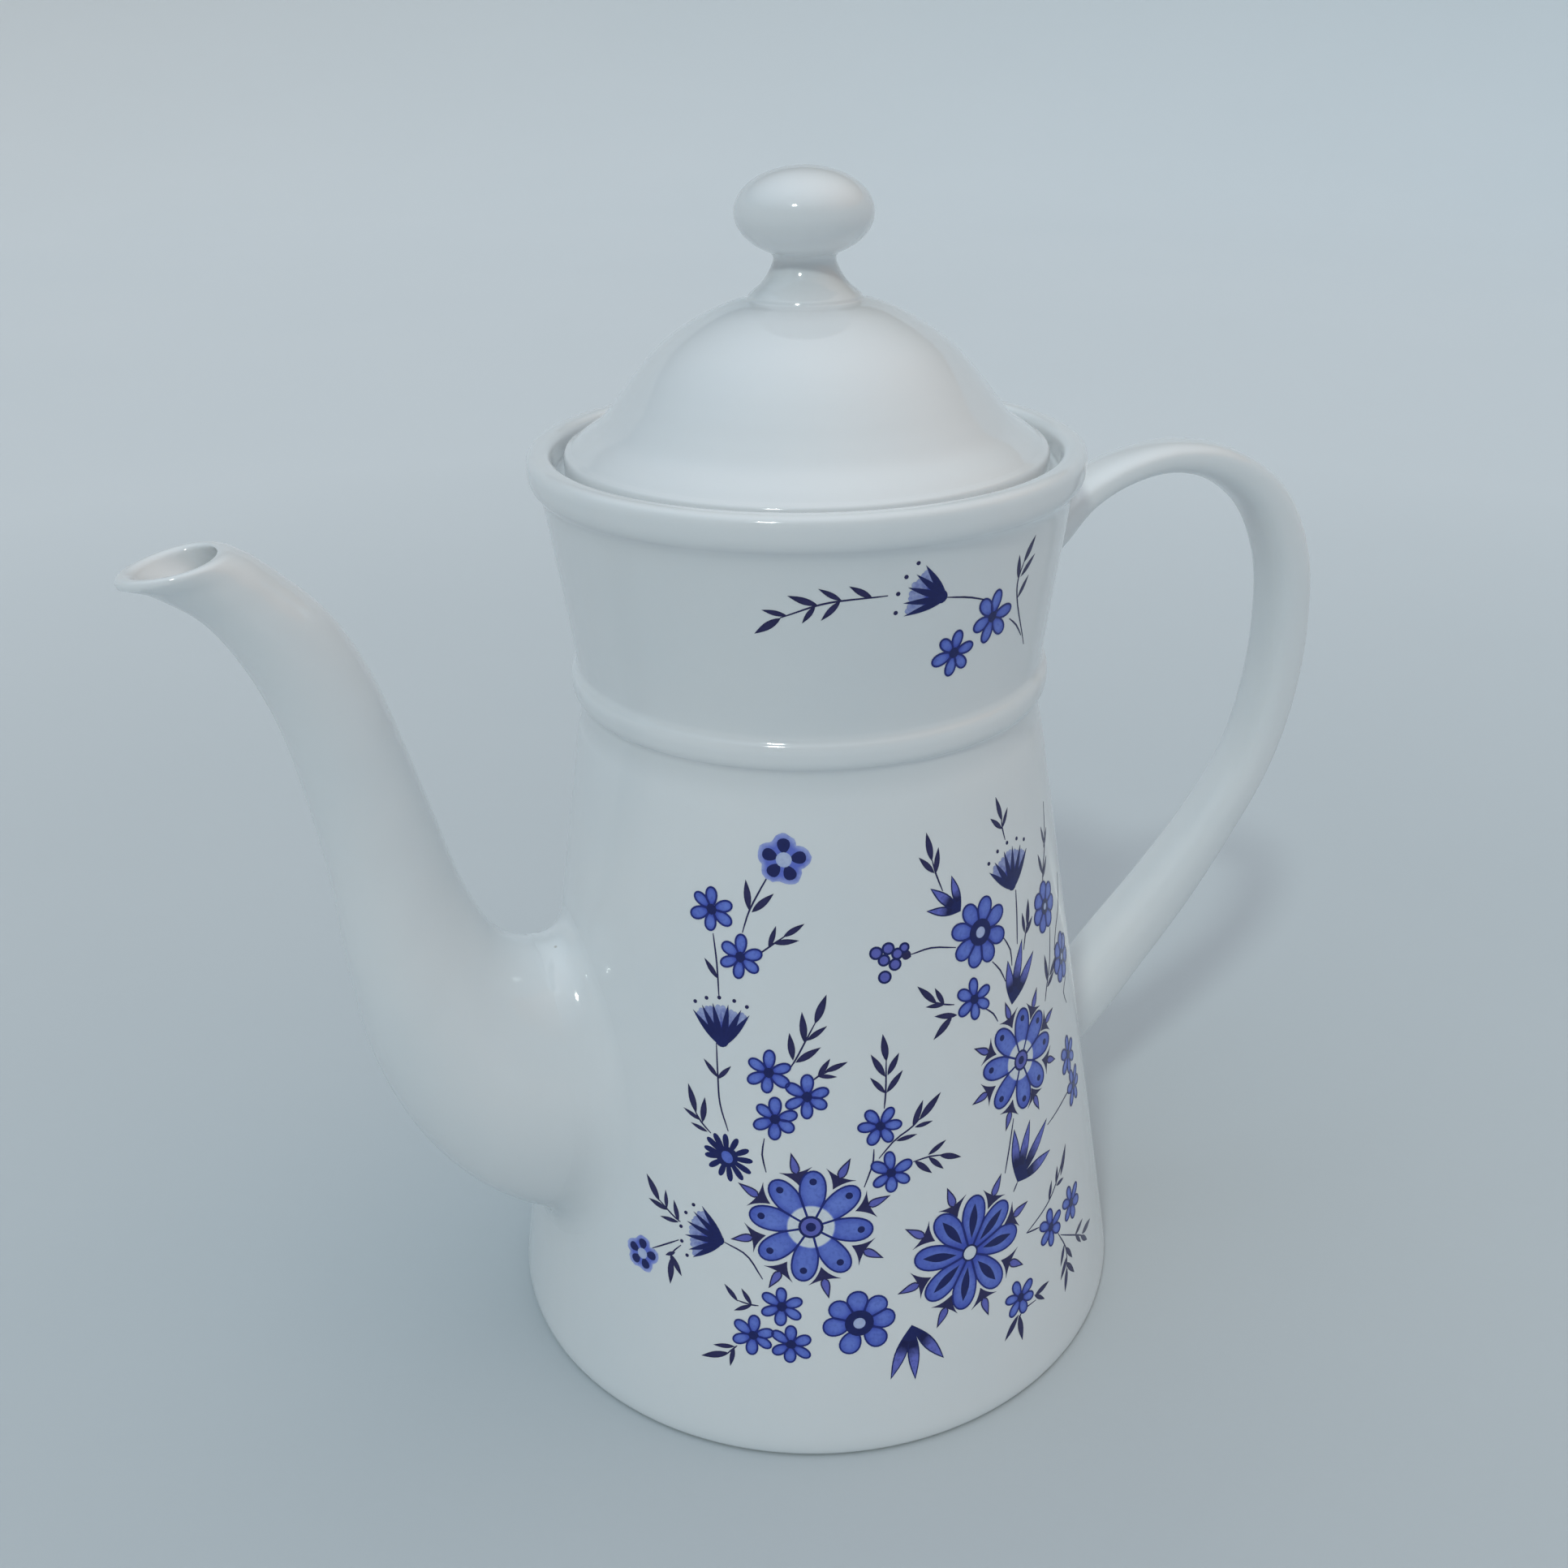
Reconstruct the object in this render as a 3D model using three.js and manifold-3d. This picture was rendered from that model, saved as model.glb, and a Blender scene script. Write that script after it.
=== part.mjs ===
// A tall porcelain coffee pot: slip-cast pot with a luted spout and handle, and a lifting lid.
// Millimetres, +Z up. The origin is the centre of the foot on the pot's own axis.
// +X points to the spout and -X to the handle, which share one vertical plane.
import * as THREE from 'three';
import { LoftGeometry } from 'three/addons/geometries/LoftGeometry.js';
import { mergeVertices } from 'three/addons/utils/BufferGeometryUtils.js';
import Module from 'manifold-3d';

const wasm = await Module();
wasm.setup();

// ---- driving dimensions ----

const JOINT_GAP = 0.3; // between pieces that touch
const ROUND_SEGMENTS = 56; // facets round the pot and the lid
const KNOB_SEGMENTS = 32;
const SMALL_HOLE_FACETS = 12;
const EDGE_ROUND = 0.8; // broken edges of the lid's collar and rim

// pot: foot, straight cone, waist bead, flared neck, lip
const FOOT_RING_INNER_R = 55.2;
const FOOT_RING_OUTER_R = 58.6;
const FOOT_RECESS_R = 54;
const FOOT_RECESS_Z = 2.4;
const BASE_R = 61.4;
const BASE_Z = 3;
const CONE_TOP_R = 42.2;
const CONE_TOP_Z = 120.5;
const GROOVE_R = 41.3;
const GROOVE_LOW_Z = 124;
const GROOVE_HIGH_Z = 128;
const WAIST_BEAD_R = 42.5;
const WAIST_BEAD_Z = 131;
const WAIST_BEAD_HALF = 2.4;
const WAIST_BEAD_DEPTH = 1.2;
const NECK_LOW_R = 41.4;
const NECK_LOW_Z = 135.5;
const NECK_TOP_R = 44.8;
const NECK_TOP_Z = 162;
const LIP_R = 47.1;
const LIP_Z = 169.3;
const LIP_TOP_Z = 171.2;
const LIP_UNDER_R = 45.6;
const LIP_UNDER_Z = 164.6;
const LIP_CHEEK_R = 46.7;
const LIP_CHEEK_Z = 166.1;
const MOUTH_R = 42.9;

// inside of the pot, from the floor up to the ledge that the lid's rim rests on
const FLOOR_Z = 7;
const FLOOR_R = 52;
const FLOOR_CORNER_R = 55;
const FLOOR_CORNER_Z = 8.8;
const INNER_LOW_R = 56.2;
const INNER_LOW_Z = 12;
const INNER_WAIST_R = 37.5;
const INNER_WAIST_LOW_Z = 122;
const INNER_WAIST_HIGH_Z = 134;
const LEDGE_SUPPORT_Z = 150;
const LEDGE_INNER_R = 39.4;
const LEDGE_OUTER_R = 42.1;
const LEDGE_Z = 166.6;
const LEDGE_FILLET = 0.5;

// strainer: a centre hole and a ring of holes through the wall behind the spout
const STRAINER_Z = 56;
const STRAINER_HOLE_R = 2.6;
const STRAINER_RING_R = 10;
const STRAINER_RING_HOLES = 6;
const STRAINER_CUT_FROM = 40;
const STRAINER_CUT_TO = 60;

// spout: wall thickness at the root and, from SPOUT_THIN_FROM of its length on, at the mouth
const SPOUT_ROOT_WALL = 4.2;
const SPOUT_MOUTH_WALL = 2.4;
const SPOUT_THIN_FROM = 0.625;
const SPOUT_BORE_OVERRUN = 4; // how far the bore's cutter runs out past the mouth
const SPOUT_POINTS_ROUND = 24;
const SPOUT_STATIONS = 24;

// handle: a flat strap, HANDLE_SQUARENESS 2 being an ellipse
const HANDLE_POINTS_ROUND = 16;
const HANDLE_STATIONS = 30;
const HANDLE_SQUARENESS = 2.8;

// lid: a dome on a rim, with a collar that reaches down into the neck
const LID_EDGE_R = 40.9;
const LID_EDGE_LOW_Z = 168;
const LID_EDGE_Z = 169.4;
const LID_TOP_R = 9.6;
const LID_TOP_Z = 194.3;
const LID_CAVITY_Z = 190.3;
const COLLAR_R = 38.3;
const COLLAR_INNER_R = 35.2;
const COLLAR_BOTTOM_Z = 154;
const VENT_R = 1.6;
const VENT_X = -7.9;
const VENT_Y = -19.5;
const VENT_Z = 186;
const VENT_CUT = 20;

// knob: an oblate ball on a waisted foot
const KNOB_FOOT_R = 9.2;
const KNOB_NECK_R = 5.1;
const KNOB_NECK_Z = 199.8;
const KNOB_BALL_R = 11.3;
const KNOB_BALL_HALF = 7;
const KNOB_BALL_Z = 207.4;

// ---- materials ----

function porcelain(name, color) {
  return new THREE.MeshStandardMaterial({ name, color, roughness: 0.15, metalness: 0 });
}

const POT_WHITE = 0xe4e8ea;
const LID_WHITE = 0xe6eaec;

// ---- solids and cuts ----

function solidOf(geometry) {
  const bare = new THREE.BufferGeometry();
  bare.setAttribute('position', geometry.attributes.position);
  bare.setIndex(geometry.index);
  const merged = mergeVertices(bare, 1e-4);
  const index = Array.from(merged.index.array);
  const triangles = [];
  for (let i = 0; i < index.length; i += 3) {
    const [a, b, c] = index.slice(i, i + 3);
    if (a !== b && b !== c && c !== a) triangles.push(a, b, c);
  }
  return new wasm.Manifold(new wasm.Mesh({
    numProp: 3,
    vertProperties: new Float32Array(merged.attributes.position.array),
    triVerts: new Uint32Array(triangles),
  }));
}

function geometryOf(solid) {
  const mesh = solid.getMesh();
  const geometry = new THREE.BufferGeometry();
  geometry.setAttribute('position', new THREE.BufferAttribute(mesh.vertProperties, 3));
  geometry.setIndex(new THREE.BufferAttribute(mesh.triVerts, 1));
  geometry.computeVertexNormals();
  return geometry;
}

function subPart(name, geometry, material) {
  const mesh = new THREE.Mesh(geometry, material);
  mesh.name = name;
  return mesh;
}

// Turns a profile of (radius, height) points round the Z axis.
function revolve(profile, segments) {
  const geometry = new THREE.LatheGeometry(profile, segments);
  geometry.rotateX(Math.PI / 2);
  return geometry;
}

function point(radius, height) {
  return new THREE.Vector2(radius, height);
}

// Points of a smooth curve through (radius, height) pairs.
function curveThrough(pairs, divisions) {
  const curve = new THREE.SplineCurve(pairs.map(([r, z]) => point(r, z)));
  return curve.getPoints(divisions);
}

// Points of an elliptical arc round (centreR, centreZ), angles in degrees from the +radius axis.
function arc(centreR, centreZ, radiusR, radiusZ, fromDegrees, toDegrees, divisions) {
  const from = THREE.MathUtils.degToRad(fromDegrees);
  const to = THREE.MathUtils.degToRad(toDegrees);
  const curve = new THREE.EllipseCurve(centreR, centreZ, radiusR, radiusZ, from, to, to < from);
  return curve.getPoints(divisions);
}

// ---- pot ----

// The outside of the pot from the base corner up to the top of the neck, enlarged by `grow`.
function outerWall(grow) {
  const beadCentreR = WAIST_BEAD_R - WAIST_BEAD_DEPTH + grow;
  return [
    point(BASE_R + grow, BASE_Z),
    point(CONE_TOP_R + grow, CONE_TOP_Z),
    point(GROOVE_R + grow, GROOVE_LOW_Z),
    point(GROOVE_R + grow, GROOVE_HIGH_Z),
    ...arc(beadCentreR, WAIST_BEAD_Z, WAIST_BEAD_DEPTH, WAIST_BEAD_HALF, -80, 80, 4),
    point(NECK_LOW_R + grow, NECK_LOW_Z),
    point(NECK_TOP_R + grow, NECK_TOP_Z),
  ];
}

function potProfile() {
  const lipHalfWidth = (LIP_R - MOUTH_R) / 2;
  return [
    point(0, FOOT_RECESS_Z),
    point(FOOT_RECESS_R, FOOT_RECESS_Z),
    point(FOOT_RING_INNER_R, 0),
    point(FOOT_RING_OUTER_R, 0),
    ...arc(FOOT_RING_OUTER_R, BASE_Z, BASE_R - FOOT_RING_OUTER_R, BASE_Z, -70, -25, 2),
    ...outerWall(0),
    point(LIP_UNDER_R, LIP_UNDER_Z),
    point(LIP_CHEEK_R, LIP_CHEEK_Z),
    ...arc(LIP_R - lipHalfWidth, LIP_Z, lipHalfWidth, LIP_TOP_Z - LIP_Z, 0, 180, 6),
    point(LEDGE_OUTER_R + LEDGE_FILLET, LEDGE_Z + LEDGE_FILLET),
    point(LEDGE_OUTER_R, LEDGE_Z),
    point(LEDGE_INNER_R, LEDGE_Z),
    point(LEDGE_INNER_R, LEDGE_SUPPORT_Z),
    point(INNER_WAIST_R, INNER_WAIST_HIGH_Z),
    point(INNER_WAIST_R, INNER_WAIST_LOW_Z),
    point(INNER_LOW_R, INNER_LOW_Z),
    point(FLOOR_CORNER_R, FLOOR_CORNER_Z),
    point(FLOOR_R, FLOOR_Z),
    point(0, FLOOR_Z),
  ];
}

function strainerHole(y, z) {
  const length = STRAINER_CUT_TO - STRAINER_CUT_FROM;
  const geometry = new THREE.CylinderGeometry(
    STRAINER_HOLE_R, STRAINER_HOLE_R, length, SMALL_HOLE_FACETS,
  );
  geometry.rotateZ(Math.PI / 2);
  geometry.translate(STRAINER_CUT_FROM + length / 2, y, z);
  return solidOf(geometry);
}

function potGeometry() {
  let pot = solidOf(revolve(potProfile(), ROUND_SEGMENTS));
  pot = pot.subtract(strainerHole(0, STRAINER_Z));
  for (let i = 0; i < STRAINER_RING_HOLES; i += 1) {
    const angle = (i / STRAINER_RING_HOLES) * Math.PI * 2;
    const y = Math.cos(angle) * STRAINER_RING_R;
    const z = STRAINER_Z + Math.sin(angle) * STRAINER_RING_R;
    pot = pot.subtract(strainerHole(y, z));
  }
  return geometryOf(pot);
}

// A solid slug of the pot's outside with the joint gap added, to trim what is luted onto it.
function potTrimmer() {
  const wall = outerWall(JOINT_GAP);
  const lowest = wall[0];
  const highest = wall[wall.length - 1];
  const profile = [point(0, lowest.y), ...wall, point(0, highest.y)];
  return solidOf(revolve(profile, ROUND_SEGMENTS));
}

// ---- spout and handle ----

// A rail in the XZ plane through [x, z] pairs.
function rail(pairs) {
  const points = pairs.map(([x, z]) => new THREE.Vector3(x, 0, z));
  return new THREE.CatmullRomCurve3(points, false, 'centripetal');
}

// Value of a list of numbers at t from 0 to 1, with straight lines between the entries.
function along(values, t) {
  const at = t * (values.length - 1);
  const low = Math.min(Math.floor(at), values.length - 2);
  return THREE.MathUtils.lerp(values[low], values[low + 1], at - low);
}

// One cross-section between two rails: `across` runs from the upper rail to the lower one.
function section(upper, lower, halfWidth, inset, count, shape) {
  const centre = upper.clone().add(lower).multiplyScalar(0.5);
  const across = lower.clone().sub(upper);
  const halfDepth = across.length() / 2 - inset;
  across.normalize();
  const points = [];
  for (let i = 0; i < count; i += 1) {
    const [depth, width] = shape((i / count) * Math.PI * 2);
    const p = centre.clone().addScaledVector(across, depth * halfDepth);
    p.y += width * (halfWidth - inset);
    points.push(p);
  }
  return points;
}

// The spout leaves the cone low down, turns up steeply and ends in a drawn-out pouring lip.
const SPOUT_LOWER = rail([
  [44, 28], [56, 29], [69, 37.5], [79, 51.5], [85, 69], [87, 88], [87.5, 104.5],
  [89, 119.5], [91.5, 134.5], [95.5, 146], [100, 153.5], [105, 158], [111.2, 161],
]);
const SPOUT_UPPER = rail([
  [44, 84], [53.3, 84.5], [58.3, 86.7], [61.6, 90.3], [64.1, 95.6], [66.3, 102], [68.8, 112.7],
  [72.2, 127], [76.2, 141.5], [81.2, 152], [87, 158.6], [91.3, 162.5], [94.5, 164.4],
]);
// Half the width across at equal steps from root to mouth, and how far the wide side sits low (+).
const SPOUT_HALF_WIDTHS = [21.5, 21, 19, 16.5, 14, 12, 10.5, 9.5, 8.6, 7.9, 7.3, 7.4, 8.2];
const SPOUT_EGG = [0.12, 0.12, 0.1, 0.08, 0.05, 0.02, 0, 0, 0, 0, 0, -0.05, -0.16];

function spoutLoft(wallAtRoot, wallAtMouth, overrun) {
  const sections = [];
  for (let i = 0; i <= SPOUT_STATIONS; i += 1) {
    const t = i / SPOUT_STATIONS;
    const egg = along(SPOUT_EGG, t);
    const shape = (angle) => [
      Math.cos(angle),
      Math.sin(angle) * (1 + egg * Math.cos(angle)),
    ];
    const wall = THREE.MathUtils.lerp(wallAtRoot, wallAtMouth, Math.min(1, t / SPOUT_THIN_FROM));
    sections.push(section(
      SPOUT_UPPER.getPoint(t), SPOUT_LOWER.getPoint(t), along(SPOUT_HALF_WIDTHS, t), wall,
      SPOUT_POINTS_ROUND, shape,
    ));
  }
  if (overrun > 0) {
    const last = sections[sections.length - 1];
    const out = SPOUT_UPPER.getTangent(1).add(SPOUT_LOWER.getTangent(1)).normalize();
    sections.push(last.map((p) => p.clone().addScaledVector(out, overrun)));
  }
  return new LoftGeometry(sections, { capStart: true, capEnd: true });
}

function spoutGeometry(trimmer) {
  const outside = solidOf(spoutLoft(0, 0, 0));
  const bore = solidOf(spoutLoft(SPOUT_ROOT_WALL, SPOUT_MOUTH_WALL, SPOUT_BORE_OVERRUN));
  return geometryOf(outside.subtract(bore).subtract(trimmer));
}

// The handle springs from the neck just below the lip, arches over and returns to the cone.
const HANDLE_OUTER = rail([
  [-40, 151.5], [-47.6, 155], [-54.3, 159], [-63, 162.2], [-74, 163.6], [-86.3, 161.3],
  [-98.6, 153.5], [-106.5, 140], [-109, 124], [-108, 108], [-103.4, 92], [-95.4, 77.4],
  [-86, 63.3], [-75.5, 50.2], [-64.5, 37.5], [-50, 26],
]);
const HANDLE_INNER = rail([
  [-40, 138.5], [-48.8, 146], [-55.2, 152.8], [-63, 156.6], [-72.3, 157.9], [-82.3, 155.3],
  [-91.7, 148.3], [-97.5, 137.2], [-99.4, 124], [-98.7, 110], [-95.2, 95.6], [-87.4, 82.7],
  [-77.4, 70.5], [-67, 59.5], [-58.5, 50], [-49, 41],
]);
// Half the strap's width at equal steps from the upper root to the lower one.
const HANDLE_HALF_WIDTHS = [
  6.5, 6, 5.6, 5.4, 5.4, 5.5, 5.6, 5.7, 5.8, 5.9, 6, 6.2, 6.6, 6.9, 7.3, 7.8,
];

function handleGeometry(trimmer) {
  const rounded = (value) => Math.sign(value) * Math.abs(value) ** (2 / HANDLE_SQUARENESS);
  const shape = (angle) => [rounded(Math.cos(angle)), -rounded(Math.sin(angle))];
  const sections = [];
  for (let i = 0; i <= HANDLE_STATIONS; i += 1) {
    const t = i / HANDLE_STATIONS;
    sections.push(section(
      HANDLE_OUTER.getPoint(t), HANDLE_INNER.getPoint(t), along(HANDLE_HALF_WIDTHS, t), 0,
      HANDLE_POINTS_ROUND, shape,
    ));
  }
  const strap = new LoftGeometry(sections, { capStart: true, capEnd: true });
  return geometryOf(solidOf(strap).subtract(trimmer));
}

// ---- lid ----

// The dome's inside, then the outside's flank and crown, as [radius, height] pairs.
const LID_CAVITY = [
  [6, 190.2], [16, 187.6], [24, 183.2], [28, 178], [31.5, 173.2], [COLLAR_INNER_R, 169],
];
const LID_FLANK = [
  [40.3, 170.8], [38.2, 172.3], [34.8, 174.5], [32.2, 177.4], [29.8, 181], [26.8, 184.7],
];
const LID_CROWN = [[23.5, 187.6], [19, 190.3], [14, 192.5], [LID_TOP_R, LID_TOP_Z]];

function lidProfile() {
  const seatZ = LEDGE_Z + JOINT_GAP;
  return [
    point(0, LID_CAVITY_Z),
    ...curveThrough(LID_CAVITY, 9),
    point(COLLAR_INNER_R, COLLAR_BOTTOM_Z + EDGE_ROUND),
    point(COLLAR_INNER_R + EDGE_ROUND, COLLAR_BOTTOM_Z),
    point(COLLAR_R - EDGE_ROUND, COLLAR_BOTTOM_Z),
    point(COLLAR_R, COLLAR_BOTTOM_Z + EDGE_ROUND),
    point(COLLAR_R, seatZ),
    point(LID_EDGE_R - EDGE_ROUND, seatZ),
    point(LID_EDGE_R, LID_EDGE_LOW_Z),
    point(LID_EDGE_R, LID_EDGE_Z),
    ...curveThrough(LID_FLANK, 9),
    ...curveThrough(LID_CROWN, 5),
    point(0, LID_TOP_Z),
  ];
}

function lidGeometry() {
  const vent = new THREE.CylinderGeometry(VENT_R, VENT_R, VENT_CUT, SMALL_HOLE_FACETS);
  vent.rotateX(Math.PI / 2);
  vent.translate(VENT_X, VENT_Y, VENT_Z);
  return geometryOf(solidOf(revolve(lidProfile(), ROUND_SEGMENTS)).subtract(solidOf(vent)));
}

function knobGeometry() {
  const footZ = LID_TOP_Z + JOINT_GAP;
  const flare = [[KNOB_FOOT_R - 0.4, footZ + 0.5], [6.4, 197.2], [KNOB_NECK_R, KNOB_NECK_Z]];
  const profile = [
    point(0, footZ),
    point(KNOB_FOOT_R, footZ),
    ...curveThrough(flare, 4),
    ...arc(0, KNOB_BALL_Z, KNOB_BALL_R, KNOB_BALL_HALF, -60, 80, 9),
    point(0, KNOB_BALL_Z + KNOB_BALL_HALF),
  ];
  return geometryOf(solidOf(revolve(profile, KNOB_SEGMENTS)));
}

// ---- assembly ----

const trimmer = potTrimmer();
const potGlaze = porcelain('pot_glaze', POT_WHITE);
const lidGlaze = porcelain('lid_glaze', LID_WHITE);

const pot = new THREE.Group();
pot.add(subPart('pot_body', potGeometry(), potGlaze));
pot.add(subPart('spout', spoutGeometry(trimmer), potGlaze));
pot.add(subPart('handle', handleGeometry(trimmer), potGlaze));

const lid = new THREE.Group();
lid.add(subPart('lid', lidGeometry(), lidGlaze));
lid.add(subPart('lid_knob', knobGeometry(), lidGlaze));

const coffeePot = new THREE.Group();
coffeePot.add(pot, lid);

export default coffeePot;
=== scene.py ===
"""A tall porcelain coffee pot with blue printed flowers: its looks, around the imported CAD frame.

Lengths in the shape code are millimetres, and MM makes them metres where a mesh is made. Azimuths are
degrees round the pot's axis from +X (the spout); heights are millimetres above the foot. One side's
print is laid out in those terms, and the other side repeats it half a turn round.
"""
import math
import random

import bmesh
import bpy
import numpy as np
from mathutils import Matrix, Vector
from mathutils.geometry import delaunay_2d_cdt


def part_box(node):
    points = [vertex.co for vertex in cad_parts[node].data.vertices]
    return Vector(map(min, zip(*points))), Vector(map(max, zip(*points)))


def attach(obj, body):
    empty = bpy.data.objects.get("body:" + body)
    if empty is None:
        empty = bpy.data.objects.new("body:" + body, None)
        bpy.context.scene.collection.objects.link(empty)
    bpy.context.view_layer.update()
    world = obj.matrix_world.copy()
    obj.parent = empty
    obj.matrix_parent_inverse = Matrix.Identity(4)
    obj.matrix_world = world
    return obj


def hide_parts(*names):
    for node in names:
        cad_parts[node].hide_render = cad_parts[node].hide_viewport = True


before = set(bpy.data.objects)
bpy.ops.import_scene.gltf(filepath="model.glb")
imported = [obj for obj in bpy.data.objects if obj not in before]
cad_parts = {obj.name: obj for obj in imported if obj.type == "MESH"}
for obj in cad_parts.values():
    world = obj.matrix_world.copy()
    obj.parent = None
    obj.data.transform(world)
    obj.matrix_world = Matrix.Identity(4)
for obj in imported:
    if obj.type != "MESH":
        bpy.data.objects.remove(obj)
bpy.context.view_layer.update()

# ---------------------------------------------------------------- driving sizes

MM = 0.001
pot_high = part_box("pot_body")[1]
lid_low, lid_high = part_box("lid")
knob_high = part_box("lid_knob")[1]

BASE_R = pot_high.x / MM
LIP_TOP = pot_high.z / MM
LID_EDGE_R = lid_high.x / MM
COLLAR_BOTTOM = lid_low.z / MM
KNOB_R = knob_high.x / MM
KNOB_TOP = knob_high.z / MM

BASE_Z = 3.0
CONE_TOP_R, CONE_TOP_Z = 42.2, 120.5
NECK_LOW_R, NECK_LOW_Z = 41.4, 135.5
NECK_TOP_R, NECK_TOP_Z = 44.8, 162.0
WAIST_Z = (CONE_TOP_Z + NECK_LOW_Z) / 2
CONE_SLOPE = (BASE_R - CONE_TOP_R) / (CONE_TOP_Z - BASE_Z)
NECK_SLOPE = (NECK_TOP_R - NECK_LOW_R) / (NECK_TOP_Z - NECK_LOW_Z)
FOOT_INNER_R = 54.5  # the bare flat of the foot ring lies outside this radius
FOOT_FLAT_Z = 0.25  # and below this height

POT_FACETS = 288
LID_FACETS = 224
SHARP = 32  # degrees between faces that make an edge
SHARP_FINE = 40
SHARP_LID = 50
SINK = 0.6  # how deep a luted root goes into the pot's wall


def cone_radius(z):
    return BASE_R - (z - BASE_Z) * CONE_SLOPE


def neck_radius(z):
    return NECK_LOW_R + (z - NECK_LOW_Z) * NECK_SLOPE


def wall_radius(z):
    """Radius of the plain wall: the cone below the waist, the neck above it."""
    return cone_radius(z) if z < WAIST_Z else neck_radius(z)


def steepness(z):
    """Growth of the wall's radius with height."""
    return -CONE_SLOPE if z < WAIST_Z else NECK_SLOPE


# ---------------------------------------------------------------- curves and meshes

def catmull(points, t):
    """A centripetal Catmull-Rom curve through the points, at t from 0 to 1."""
    points = [np.array(p, float) for p in points]
    last = len(points) - 1
    at = min(max(t, 0.0), 1.0) * last
    i = min(int(at), last - 1)
    w = at - i
    p1, p2 = points[i], points[i + 1]
    p0 = points[i - 1] if i > 0 else 2 * p1 - p2
    p3 = points[i + 2] if i + 2 <= last else 2 * p2 - p1
    d0, d1, d2 = (max(np.linalg.norm(b - a), 1e-6) ** 0.5 for a, b in ((p0, p1), (p1, p2), (p2, p3)))
    m1 = ((p1 - p0) / d0 - (p2 - p0) / (d0 + d1) + (p2 - p1) / d1) * d1
    m2 = ((p2 - p1) / d1 - (p3 - p1) / (d1 + d2) + (p3 - p2) / d2) * d1
    return (
        p1
        + m1 * w
        + (3 * (p2 - p1) - 2 * m1 - m2) * w ** 2
        + (2 * (p1 - p2) + m1 + m2) * w ** 3
    )


def curve(points, count):
    return [tuple(catmull(points, i / (count - 1))) for i in range(count)]


def quadratic(start, control, end, t):
    return (1 - t) ** 2 * start + 2 * t * (1 - t) * control + t ** 2 * end


def rounded(corners, steps=6):
    """A profile through (radius, height, rounding) corners, each rounded off by that many millimetres."""
    path = []
    for i, (r, z, rounding) in enumerate(corners):
        here = np.array((r, z), float)
        if rounding <= 0 or i in (0, len(corners) - 1):
            path.append(tuple(here))
            continue
        ends = []
        for neighbour in (corners[i - 1], corners[i + 1]):
            leg = np.array(neighbour[:2], float) - here
            length = np.linalg.norm(leg)
            ends.append(here + leg / length * min(rounding, 0.48 * length))
        path += [tuple(quadratic(ends[0], here, ends[1], k / steps)) for k in range(steps + 1)]
    return path


def turned(point, degrees):
    """A flat point turned about the origin."""
    c, s = math.cos(math.radians(degrees)), math.sin(math.radians(degrees))
    return point[0] * c - point[1] * s, point[0] * s + point[1] * c


def bands(rows, count, first=0, closed=False):
    """Quads between rings of `count` points, numbered from `first`. Closed, the last ring meets the first."""
    faces = []
    for j in range(rows if closed else rows - 1):
        a, b = first + j * count, first + (j + 1) % rows * count
        for k in range(count):
            n = (k + 1) % count
            faces.append((a + k, a + n, b + n, b + k))
    return faces


def rings_round_z(path, count):
    """The points of a (radius, height) path turned round Z, ring by ring."""
    angles = [2 * math.pi * k / count for k in range(count)]
    return [(r * math.cos(a), r * math.sin(a), z) for r, z in path for a in angles]


def lathe(profile, count):
    """Vertices and faces of a profile turned round Z. Its two ends lie on the axis."""
    rings = profile[1:-1]
    vertices = [(0.0, 0.0, profile[0][1]), *rings_round_z(rings, count), (0.0, 0.0, profile[-1][1])]
    top = len(vertices) - 1
    faces = [(0, 1 + (k + 1) % count, 1 + k) for k in range(count)]
    faces += bands(len(rings), count, 1)
    faces += [(top - count + k, top - count + (k + 1) % count, top) for k in range(count)]
    return vertices, faces


def add_object(name, data):
    """Puts mesh, lamp or camera data into the scene."""
    obj = bpy.data.objects.new(name, data)
    bpy.context.scene.collection.objects.link(obj)
    return obj


def piece(name, vertices, faces, materials, body, stands_for, sharp, face_materials=None):
    """Makes a mesh piece from millimetre vertices, with outward faces, and rides it on a CAD body."""
    mesh = bpy.data.meshes.new(name)
    mesh.from_pydata([[c * MM for c in v] for v in vertices], [], faces)
    for material in materials:
        mesh.materials.append(material)
    if face_materials is not None:
        mesh.polygons.foreach_set("material_index", face_materials)
    mesh.validate()
    obj = add_object(name, mesh)
    outward = bmesh.new()
    outward.from_mesh(mesh)
    bmesh.ops.recalc_face_normals(outward, faces=outward.faces)
    outward.to_mesh(mesh)
    outward.free()
    mesh.polygons.foreach_set("use_smooth", [True] * len(mesh.polygons))
    mesh.set_sharp_from_angle(angle=math.radians(sharp))
    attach(obj, body)
    for node in stands_for:
        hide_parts(node)
    return obj


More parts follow.
